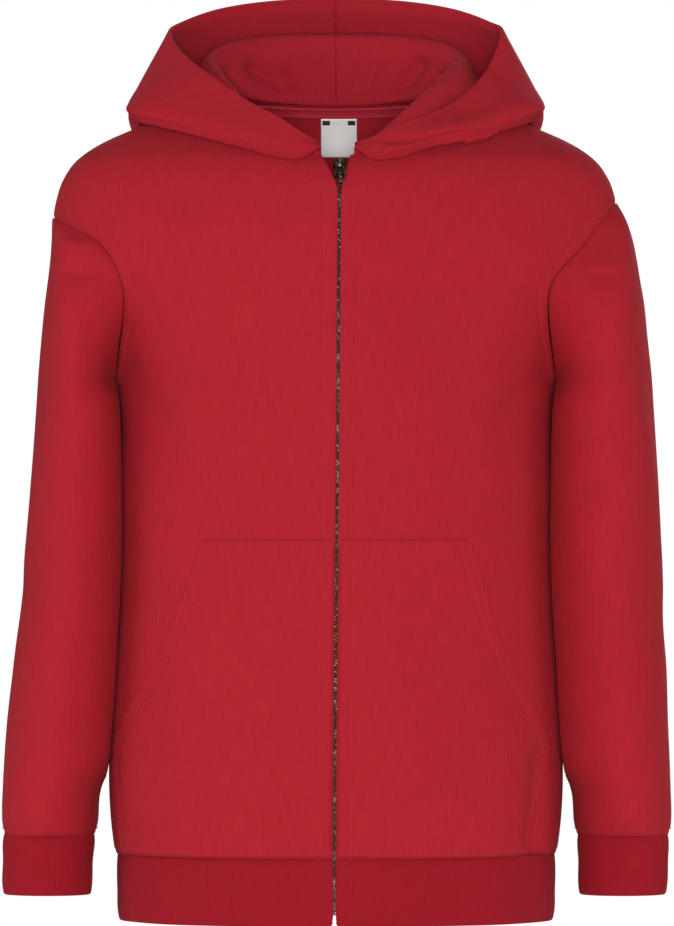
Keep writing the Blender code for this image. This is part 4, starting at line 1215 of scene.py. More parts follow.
@dataclass
class Ribbing:
    """The waistband and the cuffs."""

    form: BodyForm
    wall: float = 0.0013
    fold_radius: float = 0.0015
    half_gap: float = 0.0022
    # drop, half width, reach in front, reach behind
    waistband_sections: Table = (
        (0.5040, 0.1436, 0.1062, 0.0952),
        (0.5065, 0.1440, 0.1066, 0.0955),
        (0.5120, 0.1444, 0.1070, 0.0960),
        (0.5290, 0.1442, 0.1068, 0.0959),
        (0.5455, 0.1434, 0.1061, 0.0952),
        (0.5480, 0.1428, 0.1056, 0.0947),
    )
    # drop, outer and inner edges on the right, then on the left, half depth
    cuff_sections: Table = (
        (0.4890, 0.2178, 0.1602, 0.2180, 0.1606, 0.0290),
        (0.4925, 0.2190, 0.1594, 0.2190, 0.1597, 0.0299),
        (0.5100, 0.2198, 0.1604, 0.2192, 0.1599, 0.0297),
        (0.5300, 0.2196, 0.1614, 0.2180, 0.1604, 0.0290),
        (0.5325, 0.2190, 0.1619, 0.2174, 0.1609, 0.0285),
    )
    cuff_middle_y: float = -0.0075

    row_step: float = 0.0022
    waistband_columns: int = 360
    wave_height: float = 0.0006
    wave_lengths: tuple[float, float] = (0.0170, 0.0410)
    cuff_columns: int = 120

    def drops(self, sections: Table) -> np.ndarray:
        """The drops of a rib's rows, from its foot up."""
        return np.arange(sections[0][0], sections[-1][0] + 1e-6, self.row_step)[::-1]

    def waistband(self) -> Panel:
        """One strip of rib from zip to zip."""
        middle = self.form.zip_line[-1][1]
        rows = []
        for drop in self.drops(self.waistband_sections):
            half_width, front, back = curved(self.waistband_sections, drop)
            start = math.asin((middle + self.half_gap) / half_width)
            end = 2 * HALF_TURN - math.asin((self.half_gap - middle) / half_width)
            angles = np.linspace(start, end, self.waistband_columns)
            depth = np.where(np.cos(angles) > 0, front, back)
            rows.append(level(half_width * np.sin(angles), -depth * np.cos(angles), drop))
        panel = Panel("waistband", np.array(rows), self.wall, RIB, "rib", self.waistband_columns // 2)
        short, long = [np.sin(panel.distance_from(Edge.FIRST) / length) for length in self.wave_lengths]
        panel.relief += self.wave_height * short * long
        for edge in (Edge.BOTTOM, Edge.FIRST, Edge.LAST):
            panel.turn_under(edge, self.fold_radius)
        return panel

    def cuff(self, side: Side) -> Panel:
        """One cuff, a ring of rib."""
        turns = np.linspace(-HALF_TURN, HALF_TURN, self.cuff_columns + 1)
        first = 2 if side is Side.LEFT else 0
        rows = []
        for drop in self.drops(self.cuff_sections):
            sizes = curved(self.cuff_sections, drop)
            outer, inner, depth = sizes[first], sizes[first + 1], sizes[-1]
            x = side.value * (outer + inner) / 2 + (outer - inner) / 2 * np.cos(turns)
            rows.append(level(x, self.cuff_middle_y + depth * np.sin(turns), drop))
        panel = Panel(side.of("cuff"), np.array(rows), self.wall, RIB, "rib", self.cuff_columns // 2)
        return panel.turn_under(Edge.BOTTOM, self.fold_radius)

    def build(self) -> None:
        """Builds the ribs."""
        self.waistband().build("back")
        for side in Side:
            self.cuff(side).build(side.of("sleeve"))


# A sleeve's creases, from in front and then from its side: at the armpit, at the elbow and above the cuff
SLEEVE_CREASES = {
    Side.RIGHT: creases(
        (-0.158, -0.196, -0.182, -0.236, 0.009, 0.0026),
        (-0.160, -0.255, -0.180, -0.300, 0.011, 0.0018),
        (-0.200, -0.330, -0.172, -0.350, 0.014, 0.0014),
        (-0.165, -0.420, -0.196, -0.448, 0.012, 0.0016),
        (-0.205, -0.462, -0.178, -0.474, 0.009, 0.0014),
    )
    + creases(
        (-0.030, -0.190, 0.006, -0.300, 0.018, 0.0016),
        (0.030, -0.320, -0.012, -0.356, 0.014, 0.0018),
        seen=Seen.SIDE,
    ),
    Side.LEFT: creases(
        (0.160, -0.200, 0.190, -0.232, 0.009, 0.0028),
        (0.162, -0.268, 0.186, -0.306, 0.012, 0.0018),
        (0.205, -0.345, 0.178, -0.366, 0.015, 0.0014),
        (0.170, -0.436, 0.202, -0.455, 0.011, 0.0016),
        (0.207, -0.468, 0.180, -0.478, 0.008, 0.0012),
    )
    + creases(
        (-0.026, -0.200, 0.010, -0.310, 0.018, 0.0016),
        (0.026, -0.335, -0.014, -0.372, 0.014, 0.0018),
        seen=Seen.SIDE,
    ),
}


@dataclass
class Sleeves:
    """The two sleeves, set into the armholes and hanging beside the body."""

    form: BodyForm
    # drop, outer edge on the right and on the left, inner edge, reach in front, reach behind
    sections: Table = (
        (0.0760, 0.1855, 0.1857, 0.1465, 0.0540, 0.0540),
        (0.0860, 0.1873, 0.1912, 0.1465, 0.0560, 0.0560),
        (0.1000, 0.1878, 0.1960, 0.1465, 0.0590, 0.0580),
        (0.1130, 0.1887, 0.1987, 0.1465, 0.0617, 0.0600),
        (0.1270, 0.1903, 0.2010, 0.1465, 0.0635, 0.0610),
        (0.1400, 0.1920, 0.2033, 0.1465, 0.0650, 0.0616),
        (0.1660, 0.1947, 0.2060, 0.1465, 0.0660, 0.0615),
        (0.1920, 0.1970, 0.2090, 0.1420, 0.0660, 0.0600),
        (0.2060, 0.1980, 0.2100, 0.1390, 0.0655, 0.0590),
        (0.2320, 0.2001, 0.2120, 0.1375, 0.0642, 0.0570),
        (0.2600, 0.2025, 0.2140, 0.1370, 0.0625, 0.0548),
        (0.3000, 0.2055, 0.2155, 0.1370, 0.0610, 0.0510),
        (0.3400, 0.2090, 0.2170, 0.1380, 0.0600, 0.0480),
        (0.3800, 0.2130, 0.2185, 0.1400, 0.0588, 0.0444),
        (0.4200, 0.2175, 0.2195, 0.1425, 0.0568, 0.0405),
        (0.4400, 0.2190, 0.2204, 0.1452, 0.0556, 0.0388),
        (0.4500, 0.2196, 0.2208, 0.1490, 0.0547, 0.0378),
        (0.4570, 0.2200, 0.2210, 0.1530, 0.0540, 0.0370),
        (0.4850, 0.2205, 0.2215, 0.1572, 0.0480, 0.0330),
        (0.4920, 0.2200, 0.2210, 0.1580, 0.0452, 0.0312),
    )
    wall: float = 0.0012
    columns: int = 128
    cap_share: float = 0.78
    clearance: float = 0.0018
    clearance_run: float = 0.014
    pit_run: float = 0.010
    inner_share: float = 0.45
    row_step: float = 0.0025
    fold_radius: float = 0.0013
    seam_groove: float = 0.0009
    seam_width: float = 0.0016
    foot_width: float = 0.0040
    foot_groove: float = 0.0012
    foot_stitch_inset: float = 0.0035

    def sizes(self, side: Side, drop: float) -> tuple[float, float, tuple[float, float]]:
        """A section's outer and inner edges, and its reaches in front and behind."""
        right, left, inner, front, back = curved(self.sections, drop)
        return left if side is Side.LEFT else right, inner, (front, back)

    def cap_depth(self, side: Side, drop: float, full: float, widest: float) -> float:
        """How deep the oval is that the sleeve follows beside the armhole."""
        hole = self.form.armholes[side]
        if drop < hole.widest:
            share = (drop - hole.top) / (hole.widest - hole.top)
            return widest * (self.cap_share + (1 - self.cap_share) * share)
        share = (drop - hole.widest) / (hole.bottom - hole.widest)
        return widest + (full - widest) * math.sin(QUARTER_TURN * share)

    def ring(self, side: Side, drop: float) -> np.ndarray:
        """A level section below the armhole, lying against the body without touching it."""
        outer, inner, (front, back) = self.sizes(side, drop)
        bottom = self.form.armholes[side].bottom
        pit = abs(self.form.at(bottom, self.form.armhole_angles(side, bottom)[0])[0])
        turns = np.linspace(-HALF_TURN, HALF_TURN, self.columns + 1)
        near = eased(self.inner_share, 1.0, np.abs(turns) / HALF_TURN)
        sewn = near * max(0.0, 1 - (drop - bottom) / self.pit_run)
        width = (outer - inner - (pit - inner) * sewn) / 2
        x = side.value * (outer - width * (1 - np.cos(turns)))
        ring = level(x, np.where(turns < 0, front, back) * np.sin(turns), drop)
        eased_in = float(eased(0.0, self.clearance_run, drop - bottom))
        return self.form.clear_of(ring, self.clearance * eased_in)

    def cap(self, side: Side, drop: float) -> np.ndarray:
        """A level section beside the armhole: an arc from its front edge, round outside, to its back edge."""
        hole = self.form.armholes[side]
        outer, inner, reaches = self.sizes(side, drop)
        shares = np.linspace(-1.0, 1.0, self.columns + 1)
        row = np.zeros((self.columns + 1, 3))
        ends = self.form.armhole_angles(side, drop)
        widest_angles = self.form.armhole_angles(side, hole.widest)
        halves = (shares <= 0, shares > 0)
        for half, depth, end_angle, widest_angle in zip(halves, reaches, ends, widest_angles):
            end = self.form.at(drop, end_angle)
            widest = abs(self.form.at(hole.widest, widest_angle)[1])
            oval = max(self.cap_depth(side, drop, depth, widest), abs(end[1]) + 1e-5)
            turn = math.asin(abs(end[1]) / oval)
            turn = HALF_TURN - turn if drop > hole.widest else turn
            half_width = (outer - end[0]) / (1 - math.cos(turn))
            turns = np.abs(shares[half]) * turn
            near = eased(self.inner_share, 1.0, np.abs(shares[half]))
            full_half_width = (outer - inner) / 2
            width = full_half_width + (half_width - full_half_width) * near
            reach = depth + (oval - depth) * near
            row[half, 0] = side.value * (outer - width * (1 - np.cos(turns)))
            row[half, 1] = np.sign(shares[half]) * reach * np.sin(turns)
        row[:, 2] = -drop
        row[1:-1] = self.form.clear_of(row[1:-1], 0.0)
        return row

    def panel(self, side: Side) -> Panel:
        """One sleeve."""
        hole = self.form.armholes[side]
        beside = [drop for drop in body_rows(self.form) if hole.top < drop < hole.bottom]
        below = np.arange(hole.bottom, self.sections[-1][0] + 1e-6, self.row_step)
        drops = np.concatenate([beside, below])[::-1]
        rows = [(self.cap if drop < hole.bottom else self.ring)(side, drop) for drop in drops]
        points = np.array([row[:: side.value] for row in rows])
        panel = Panel(side.of("sleeve"), points, self.wall, grain_column=self.columns // 2)
        panel.facing = grid_normals(points)
        panel.crease(SLEEVE_CREASES[side])
        beside_hole = drops <= hole.bottom
        ends = np.array([self.form.armhole_angles(side, drop) for drop in drops]) * side.value
        sunk = np.zeros_like(points)
        for column, end in zip((0, -1), ends.T[:: side.value]):
            panel.relief *= eased(0.0, SEAM_RUN, distance_to(points, points[:, column]))
            apart = distance_to(points, points[beside_hole, column])
            groove = self.seam_groove * bell(apart, self.seam_width)
            sunk += groove[..., None] * self.form.normal(drops, end)[:, None, :]
        panel.points = points - sunk
        return panel.press(Edge.BOTTOM, 0.0, self.foot_width, self.foot_groove)

    def build(self) -> None:
        """Builds the sleeves, with the stitches that hold their cuffs."""
        for side in Side:
            panel = self.panel(side)
            line = panel.line_along(Edge.BOTTOM, self.foot_stitch_inset, STITCH_LIFT)
            STITCHING.sew(side.of("cuff_stitches"), [line])
            panel.turn_under(Edge.BOTTOM, self.fold_radius).build()


# The folds of the hanging bag and the dents of the roll round the neck, from in front
HOOD_FOLDS = {
    Side.RIGHT: creases(
        (-0.020, -0.100, -0.060, -0.060, 0.014, 0.0020),
        (-0.090, -0.020, -0.050, 0.020, 0.016, 0.0016),
        (-0.118, -0.022, -0.076, -0.031, 0.0060, 0.0012, 0.2),
    ),
    Side.LEFT: creases(
        (0.020, -0.100, 0.060, -0.060, 0.014, 0.0020),
        (0.090, -0.020, 0.050, 0.020, 0.016, 0.0016),
        (0.086, -0.0320, 0.034, -0.0370, 0.0026, 0.0030, 1.0),
        (0.100, -0.012, 0.048, -0.026, 0.0080, 0.0020, 0.6),
    ),
}
HOOD_DENTS = {
    Side.RIGHT: creases(
        (-0.0545, 0.0150, -0.0380, 0.0040, 0.0060, 0.0084, 0.6),
        (-0.0325, 0.0130, -0.0250, 0.0010, 0.0050, 0.0060, 0.5),
        (-0.0710, 0.0110, -0.0650, 0.0010, 0.0045, 0.0034),
    ),
    Side.LEFT: creases(
        (0.0560, 0.0170, 0.0415, -0.0010, 0.0060, 0.0084, 0.6),
        (0.0690, 0.0110, 0.0590, 0.0000, 0.0046, 0.0036),
        (0.0240, 0.0120, 0.0260, -0.0060, 0.0075, 0.0018),
    ),
}


@dataclass
class Hood:
    """The hood, lying down: an outer hood and its lining, each of two halves that meet in the middle.

    A section's turning points after the seam are distances out from the neckline and heights, in
    millimetres: the roll, the trough, the fold at the bottom of the bag, the belly and the open edge.
    """

    form: BodyForm
    # angle, then out and up for the roll, the trough, the fold, the belly and the edge
    front_right: Table = (
        (7.2, 1.0, -43.5, 3.5, -42.5, 7.5, -42.5, 10.3, -40.2, 9.5, -38.8),
        (16, 2.0, -40.0, 7.0, -43.5, 12.0, -49.5, 17.0, -42.0, 12.0, -31.0),
        (25, 2.0, -37.0, 8.0, -42.0, 14.0, -48.5, 19.5, -40.0, 10.0, -23.0),
        (40, 1.5, -28.0, 9.0, -35.0, 19.0, -42.0, 24.5, -31.0, 9.0, -13.0),
        (60, 1.0, -6.0, 13.0, -22.0, 34.0, -33.5, 40.0, -22.0, 16.0, 4.0),
        (80, 4.0, 10.0, 20.0, -6.0, 54.0, -24.5, 60.0, -12.0, 26.0, 20.0),
    )
    front_left: Table = (
        (8.2, 1.0, -43.5, 3.5, -42.5, 7.5, -42.5, 10.3, -40.2, 9.5, -38.8),
        (16, 2.0, -40.0, 7.0, -43.5, 12.0, -49.5, 17.0, -43.0, 12.0, -35.0),
        (25, 2.0, -31.0, 8.0, -40.0, 14.5, -49.0, 20.0, -40.0, 11.0, -28.0),
        (40, 1.5, -16.0, 10.0, -28.0, 20.0, -42.0, 26.0, -31.0, 15.0, -20.0),
        (60, 1.0, 1.0, 12.0, -20.0, 32.0, -35.5, 38.0, -22.0, 18.0, -8.0),
        (80, 2.0, 13.0, 22.0, -4.0, 52.0, -24.5, 60.0, -12.0, 26.0, 10.0),
    )
    behind: Table = (
        (100, 9.0, 19.0, 25.0, -5.0, 57.0, -23.0, 63.5, -9.0, 38.0, 37.0),
        (120, 8.0, 28.0, 34.0, -14.0, 68.0, -44.0, 80.0, -22.0, 44.0, 46.0),
        (140, 8.0, 33.0, 39.0, -32.0, 69.0, -94.0, 86.0, -42.0, 46.0, 56.0),
        (160, 8.0, 35.5, 39.0, -46.0, 66.0, -134.0, 88.0, -56.0, 48.0, 62.0),
        (180, 8.0, 36.0, 38.0, -50.0, 65.0, -145.0, 88.0, -62.0, 50.0, 64.0),
    )
    # angle, how far the fold's flanks stand from its middle and above it
    fold_flanks: Table = ((7.2, 3.0, 0.2), (16, 4.8, 4.0), (30, 5.6, 5.0), (180, 6.2, 6.0))
    stations: Row = (0.0, 0.12, 0.30, 0.49, 0.55, 0.61, 0.74, 1.0)
    row_shares: Row = (0.0, 0.04, 0.08, 0.12, 0.165, 0.23, 0.31, 0.40, 0.465, 0.505) + (
        0.535, 0.565, 0.595, 0.64, 0.72, 0.85, 1.0,
    )
    tip_run: float = 10.0
    tip_reach: float = 0.0103
    tip_sink: float = 0.0016
    columns: int = 120
    rows_between: int = 8
    seam_gap: float = 0.0008
    settled_share: float = 0.15
    body_clearance: float = 0.0036
    outer_wall: float = 0.0011
    lining_wall: float = 0.0010
    lining_inset: float = 0.0016
    lining_tuck: float = 0.0026
    hem_radius: float = 0.00135
    tip_hem_radius: float = 0.0008
    hem_run: tuple[float, float] = (0.004, 0.060)
    trough: tuple[float, float] = (0.24, 0.34)
    tuck_run: tuple[float, float] = (0.30, 0.60)
    middle_seam: tuple[float, float] = (0.0016, 0.0004)
    lining_seam: tuple[float, float] = (0.0014, -0.00012)

    def sections(self) -> Table:
        """All the sections round the neck, from the left front past the back to the right front."""
        right = self.front_right + self.behind[:-1]
        return self.front_left + self.behind + tuple((360 - row[0], *row[1:]) for row in reversed(right))

    def grid(self, side: Side) -> np.ndarray:
        """One half's grid: rows from the neck seam to the open edge, columns anticlockwise."""
        start = (self.front_left if side is Side.LEFT else self.front_right)[0][0]
        angles = np.linspace(math.radians(start), HALF_TURN, self.columns)
        if side is Side.RIGHT:
            angles = 2 * HALF_TURN - angles[::-1]
        count = len(self.row_shares)
        fine = np.linspace(0, count - 1, (count - 1) * self.rows_between + 1)
        shares = np.interp(fine, np.arange(count), self.row_shares)
        bases = self.form.neck_points(angles)
        points = np.stack([self.column(angle, base, shares) for angle, base in zip(angles, bases)], axis=1)
        settled = self.form.clear_of(points, self.body_clearance)
        loose = eased(0.6 * self.settled_share, self.settled_share, shares)[:, None, None]
        points = points + (settled - points) * loose
        before_trough = (1 - eased(*self.trough, shares))[:, None]
        sunk = sum(dent.depth_at(points) for dent in HOOD_DENTS[side]) * before_trough
        sunk = sunk - sum(fold.depth_at(points) for fold in HOOD_FOLDS[side]) * (1 - before_trough)
        sunk = sunk * eased(0.0, 0.02, shares)[:, None]
        return points + grid_normals(points) * sunk[..., None]

    def column(self, angle: float, base: np.ndarray, shares: np.ndarray) -> np.ndarray:
        """The points of one section."""
        degrees = math.degrees(angle)
        turns = [MILLIMETRE * size for size in curved(self.sections(), degrees)]
        folded = min(degrees, 360 - degrees)
        reach, rise = [MILLIMETRE * float(straight(self.fold_flanks, folded, column)) for column in (1, 2)]
        square = 1 - float(eased(self.front_right[0][0], self.front_right[0][0] + self.tip_run, folded))
        foot = (0.0, base[2] + self.seam_gap - self.tip_sink * square)
        places = [foot] + list(zip(turns[::2], turns[1::2]))
        out, up = places[3]
        places[3:4] = [(out - reach, up + rise), (out, up), (out + reach, up + rise)]
        stations = tuple((station, *place) for station, place in zip(self.stations, places))
        profile = np.array([curved(stations, share) for share in shares])
        x = base[0] + (profile[:, 0] * (1 - square) + self.tip_reach * square) * math.sin(angle)
        y = base[1] - profile[:, 0] * math.cos(angle)
        return np.stack([x, y, profile[:, 1]], axis=1)

    def outer(self, side: Side, points: np.ndarray) -> Panel:
        """The outer half, whose open edge turns over the lining's, ever less towards the zip."""
        panel = Panel(side.of("hood_outer"), points, self.outer_wall, grain_column=self.columns // 2)
        end, middle = side.edges
        panel.press(middle, 0.0, *self.middle_seam)
        open_share = eased(*self.hem_run, panel.distance_from(end)[-1])
        radius = self.tip_hem_radius + (self.hem_radius - self.tip_hem_radius) * open_share
        return panel.turn_under(Edge.TOP, radius, 0.0001)

    def lining(self, side: Side, points: np.ndarray) -> Panel:
        """The lining's half, which stops short of the turned edge."""
        inner = points - grid_normals(points) * self.lining_inset
        columns = np.linspace(0.0, 1.0, inner.shape[1])
        behind = eased(*self.tuck_run, columns if side is Side.LEFT else 1 - columns)
        inner[0, :, 2] -= self.lining_tuck * behind
        inner = inner[:, 2:] if side is Side.LEFT else inner[:, :-2]
        grain = self.columns // 2
        panel = Panel(side.of("hood_lining"), inner, self.lining_wall, LINING, "hood_lining", grain)
        return panel.press(side.edges[1], 0.0, *self.lining_seam)

    def build(self) -> None:
        """Builds the four halves."""
        for side in Side:
            points = self.grid(side)
            outer, lining = self.outer(side, points), self.lining(side, points)
            outer.build("back")
            lining.build(side.of("hood_outer"))


@dataclass
class NeckTrim:
    """The tape that covers the neck seam inside the back, and the label that hangs from it."""

    form: BodyForm
    tape_inset: float = 0.0028
    tape_height: float = 0.0070
    tape_drop: float = 0.0004
    tape_wall: float = 0.0009
    tape_rounding: float = 0.0005
    tape_stitch_inset: float = 0.0012
    label_middle: float = 0.0020
    label_width: float = 0.0242
    label_top: float = 0.0154
    label_foot: float = 0.0412
    label_inset: float = 0.0036
    label_wall: float = 0.0005
    label_lift: float = 0.0012
    label_curl: float = 0.0004
    size_tab_gap: float = 0.0001
    size_tab_wall: float = 0.0002

    def tape(self) -> Panel:
        """The neck tape, rounded along both its edges."""
        angles = np.radians(np.linspace(104, 256, 120))
        edge = -self.form.neck_points(angles)[:, 2]
        rows = []
        for height in np.linspace(1.0, 0.0, 9):
            sunk = self.tape_inset + self.tape_rounding * (2 * height - 1) ** 4
            rows.append(self.form.lifted(edge + self.tape_drop + height * self.tape_height, angles, -sunk))
        return Panel("neck_tape", np.array(rows), self.tape_wall, TAPE, "tape", 60)

    def label(self) -> Panel:
        """The label, sewn along its top and a little lifted at its foot."""
        across = np.linspace(0.5, -0.5, 25) * self.label_width + self.label_middle
        rows = []
        for drop in np.linspace(self.label_foot, self.label_top, 28):
            low = (drop - self.label_top) / (self.label_foot - self.label_top)
            curl = self.label_curl * np.cos(across / self.label_width * 5.0)
            bow = self.label_lift * low * low + curl * low
            angle = HALF_TURN - self.form.angle_at(drop, across)
            flat = self.form.lifted(np.full_like(across, drop), angle, -self.label_inset)
            flat[:, 1] -= bow
            rows.append(flat)
        return Panel("label", np.array(rows), self.label_wall, LABEL_SATIN, "label", 12)

    def build(self) -> None:
        """Builds the tape, the label and its size tabs."""
        tape, label = self.tape(), self.label()
        edges = (Edge.BOTTOM, Edge.TOP)
        lines = [tape.line_along(edge, self.tape_stitch_inset, -self.tape_wall) for edge in edges]
        STITCHING.sew("neck_tape_stitches", lines, "tape")
        tape.build("back")
        for name, first, last in (("size_tab_right", 18, 23), ("size_tab_left", 1, 6)):
            patch = label.points[-5:-1, first : last + 1]
            lifted = patch - grid_normals(patch) * (self.label_wall + self.size_tab_gap)
            Panel(name, lifted, self.size_tab_wall, LABEL_INK, "label").shape()
        label.build("neck_tape")


def tube(
    path: np.ndarray, radius: float, closed: bool, flatness: float = 1.0, sides: int = 10
) -> bmesh.types.BMesh:
    """A rounded wire along a path that lies in its own XZ or YZ plane.

    Args:
        path: the path's points.
        radius: the wire's half thickness in the plane.
        closed: whether the path is a loop.
        flatness: its half thickness out of the plane, as a share of the radius.
        sides: how many sides it has.

    Returns:
        The wire's mesh.
    """
    count = len(path)
    ahead = np.roll(path, -1, axis=0) - np.roll(path, 1, axis=0)
    if not closed:
        ahead[0], ahead[-1] = path[1] - path[0], path[-1] - path[-2]
    ahead = unit(ahead)
    out_of_plane = unit(np.cross(path[1] - path[0], path[2] - path[1]))
    across = unit(np.cross(ahead, out_of_plane))
    turns = np.linspace(0, 2 * HALF_TURN, sides, endpoint=False)
    mesh = bmesh.new()
    rings = []
    for place, side in zip(path, across):
        ring = [place + radius * (math.cos(t) * side + flatness * math.sin(t) * out_of_plane) for t in turns]
        rings.append([mesh.verts.new(point) for point in ring])
    for index in range(count if closed else count - 1):
        one, two = rings[index], rings[(index + 1) % count]
        for turn in range(sides):
            mesh.faces.new((one[turn], one[turn - 1], two[turn - 1], two[turn]))
    if not closed:
        mesh.faces.new(rings[0])
        mesh.faces.new(list(reversed(rings[-1])))
    bmesh.ops.recalc_face_normals(mesh, faces=mesh.faces)
    return mesh


def squared(value: float) -> float:
    """A sine or cosine pushed outwards, so that they draw a rounded square instead of a circle."""
    return np.sign(value) * abs(value) ** 0.5


def joined(name: str, parts: list[bmesh.types.BMesh]) -> bpy.types.Object:
    """One object of several meshes."""
    whole = bmesh.new()
    for part in parts:
        data = bpy.data.meshes.new("part")
        part.to_mesh(data)
        part.free()
        whole.from_mesh(data)
        bpy.data.meshes.remove(data)
    return mesh_object(name, whole)


def plate(outline: list[tuple[float, float]], near: float, far: float, bevel: float) -> bmesh.types.BMesh:
    """A plate of an outline in X and Z, between two depths along Y, with its rims rounded."""
    mesh = bmesh.new()
    face = mesh.faces.new([mesh.verts.new((x, near, z)) for x, z in outline])
    made = bmesh.ops.extrude_face_region(mesh, geom=[face])
    moved = [item for item in made["geom"] if isinstance(item, bmesh.types.BMVert)]
    bmesh.ops.translate(mesh, verts=moved, vec=(0.0, far - near, 0.0))
    bmesh.ops.recalc_face_normals(mesh, faces=mesh.faces)
    rims = [edge for edge in mesh.edges if abs(edge.verts[0].co.y - edge.verts[1].co.y) < 1e-7]
    bmesh.ops.bevel(mesh, geom=rims, offset=bevel, segments=3, profile=0.6, affect="EDGES")
    return mesh


@dataclass
class Zip:
    """The zip: teeth, slider, pull tab and the box at its foot."""

    form: BodyForm
    tooth_pitch: float = 0.0021
    tooth_size: tuple[float, float, float] = (0.0021, 0.0015, 0.0010)
    tooth_depth: float = 0.0017
    row_offset: float = 0.0006
    slider_drop: float = 0.054
    slider_half_top: float = 0.0046
    slider_half_waist: float = 0.0029
    slider_half_foot: float = 0.0033
    slider_half_length: float = 0.0056
    plate_wall: float = 0.0014
    face_stand: float = 0.0003
    back_depth: float = 0.0043
    bail_top: float = 0.0056
    bail_foot: float = -0.0028
    bail_stand: float = 0.0021
    bail_radius: float = 0.0008
    tab_bar_height: float = -0.0012
    tab_bar_stand: float = 0.00085
    plate_bevel: float = 0.0005
    # each as half its width, half its height and its middle's height
    tab_eye: tuple[float, float, float] = (0.0021, 0.0016, -0.0016)
    tab_ring: tuple[float, float, float] = (0.0039, 0.0036, -0.0086)
    tab_eye_radius: float = 0.00055
    tab_ring_radius: float = 0.00065
    waist_sections: Table = ((0.505, 0.1066), (0.512, 0.1070), (0.529, 0.1068), (0.549, 0.1056))

    def line(self, across: float, first: float, last: float) -> np.ndarray:
        """Points of the closed zip from one drop to another, `across` to the left of its middle."""
        drops = np.arange(first, last, 0.002)
        x = straight(self.form.zip_line, drops) + across
        points = self.form.at(drops, self.form.angle_at(drops, x))
        below = drops > self.form.hem
        points[below, 1] = -straight(self.waist_sections, drops[below])
        points[:, 1] += self.tooth_depth
        return points

    def tooth(self) -> bpy.types.Object:
        """One tooth: a small rounded brick, across the zip along its own X."""
        mesh = bmesh.new()
        bmesh.ops.create_cube(mesh, size=1.0)
        bmesh.ops.scale(mesh, vec=Vector(self.tooth_size), verts=mesh.verts)
        bmesh.ops.bevel(mesh, geom=mesh.edges[:], offset=0.00022, segments=1, affect="EDGES")
        return mesh_object("tooth", mesh)

    def teeth(self) -> bpy.types.Object:
        """Both rows of teeth, meshed below the slider and parted above it."""
        start, foot = self.slider_drop + 0.0030, self.form.hem + 0.0365
        left = self.line(self.row_offset, start, foot)
        right = self.line(-self.row_offset, start + self.tooth_pitch / 2, foot)
        paths = [left, right]
        for side in Side:
            drops = np.linspace(self.form.neck_foot + 0.0008, self.slider_drop - 0.0045, 6)
            x = side.value * np.array([self.form.zip_edge(side, drop) - 0.0003 for drop in drops])
            paths.append(self.form.lifted(drops, self.form.angle_at(drops, x), -self.tooth_depth))
        pitch, slot = self.tooth_pitch, "antique_brass"
        return Repeat().along("zip_teeth", paths, self.tooth(), pitch, CHAIN_BRASS, slot)

    def frame(self) -> Matrix:
        """The slider's place: its Z runs up the cloth and its -Y straight out of it."""
        middle = float(straight(self.form.zip_line, self.slider_drop))
        angle = float(self.form.angle_at(self.slider_drop, middle))
        here = self.form.at(self.slider_drop, angle)
        out = self.form.normal(self.slider_drop, 0.0)
        tilt = math.atan2(out[2], -out[1])
        return Matrix.Translation(Vector(here)) @ Matrix.Rotation(-tilt, 4, "X")

    def slider(self) -> bpy.types.Object:
        """The slider's two plates on their post."""
        rise, foot, top = self.slider_half_length, self.slider_half_foot, self.slider_half_top
        right = [
            (foot, -rise),
            (foot, -0.4 * rise),
            (self.slider_half_waist, -0.1 * rise),
            (top, 0.35 * rise),
            (top, 0.8 * rise),
            (0.75 * top, rise),
            (0.2 * top, 0.82 * rise),
        ]
        outline = right + [(-x, z) for x, z in reversed(right)]
        face = -self.face_stand - self.plate_wall
        parts = [
            plate(outline, face, -self.face_stand, self.plate_bevel),
            plate(outline, self.back_depth - self.plate_wall, self.back_depth, self.plate_bevel),
        ]
        post = [(-0.0012, 0.0016), (0.0012, 0.0016), (0.0010, 0.0044), (-0.0010, 0.0044)]
        parts.append(plate(post, face + 0.0004, self.back_depth - 0.0004, 0.0003))
        obj = joined("zip_slider_body", parts)
        obj.data.transform(self.frame())
        return dress_piece(obj, BRASS)

    def bail(self) -> bpy.types.Object:
        """The bright loop on the slider's face that holds the pull tab."""
        face = -self.face_stand - self.plate_wall + 0.0004
        turns = np.linspace(0, HALF_TURN, 15)
        middle = (self.bail_top + self.bail_foot) / 2
        reach = (self.bail_top - self.bail_foot) / 2 - self.bail_radius
        stand = [self.bail_stand * min(1.0, 1.6 * math.sin(turn)) for turn in turns]
        path = [(0.0, face - y, middle + reach * math.cos(turn)) for y, turn in zip(stand, turns)]
        obj = joined("zip_bail", [tube(np.array(path), self.bail_radius * 0.7, False, 1.5)])
        obj.data.transform(self.frame())
        return dress_piece(obj, BRIGHT_BRASS)

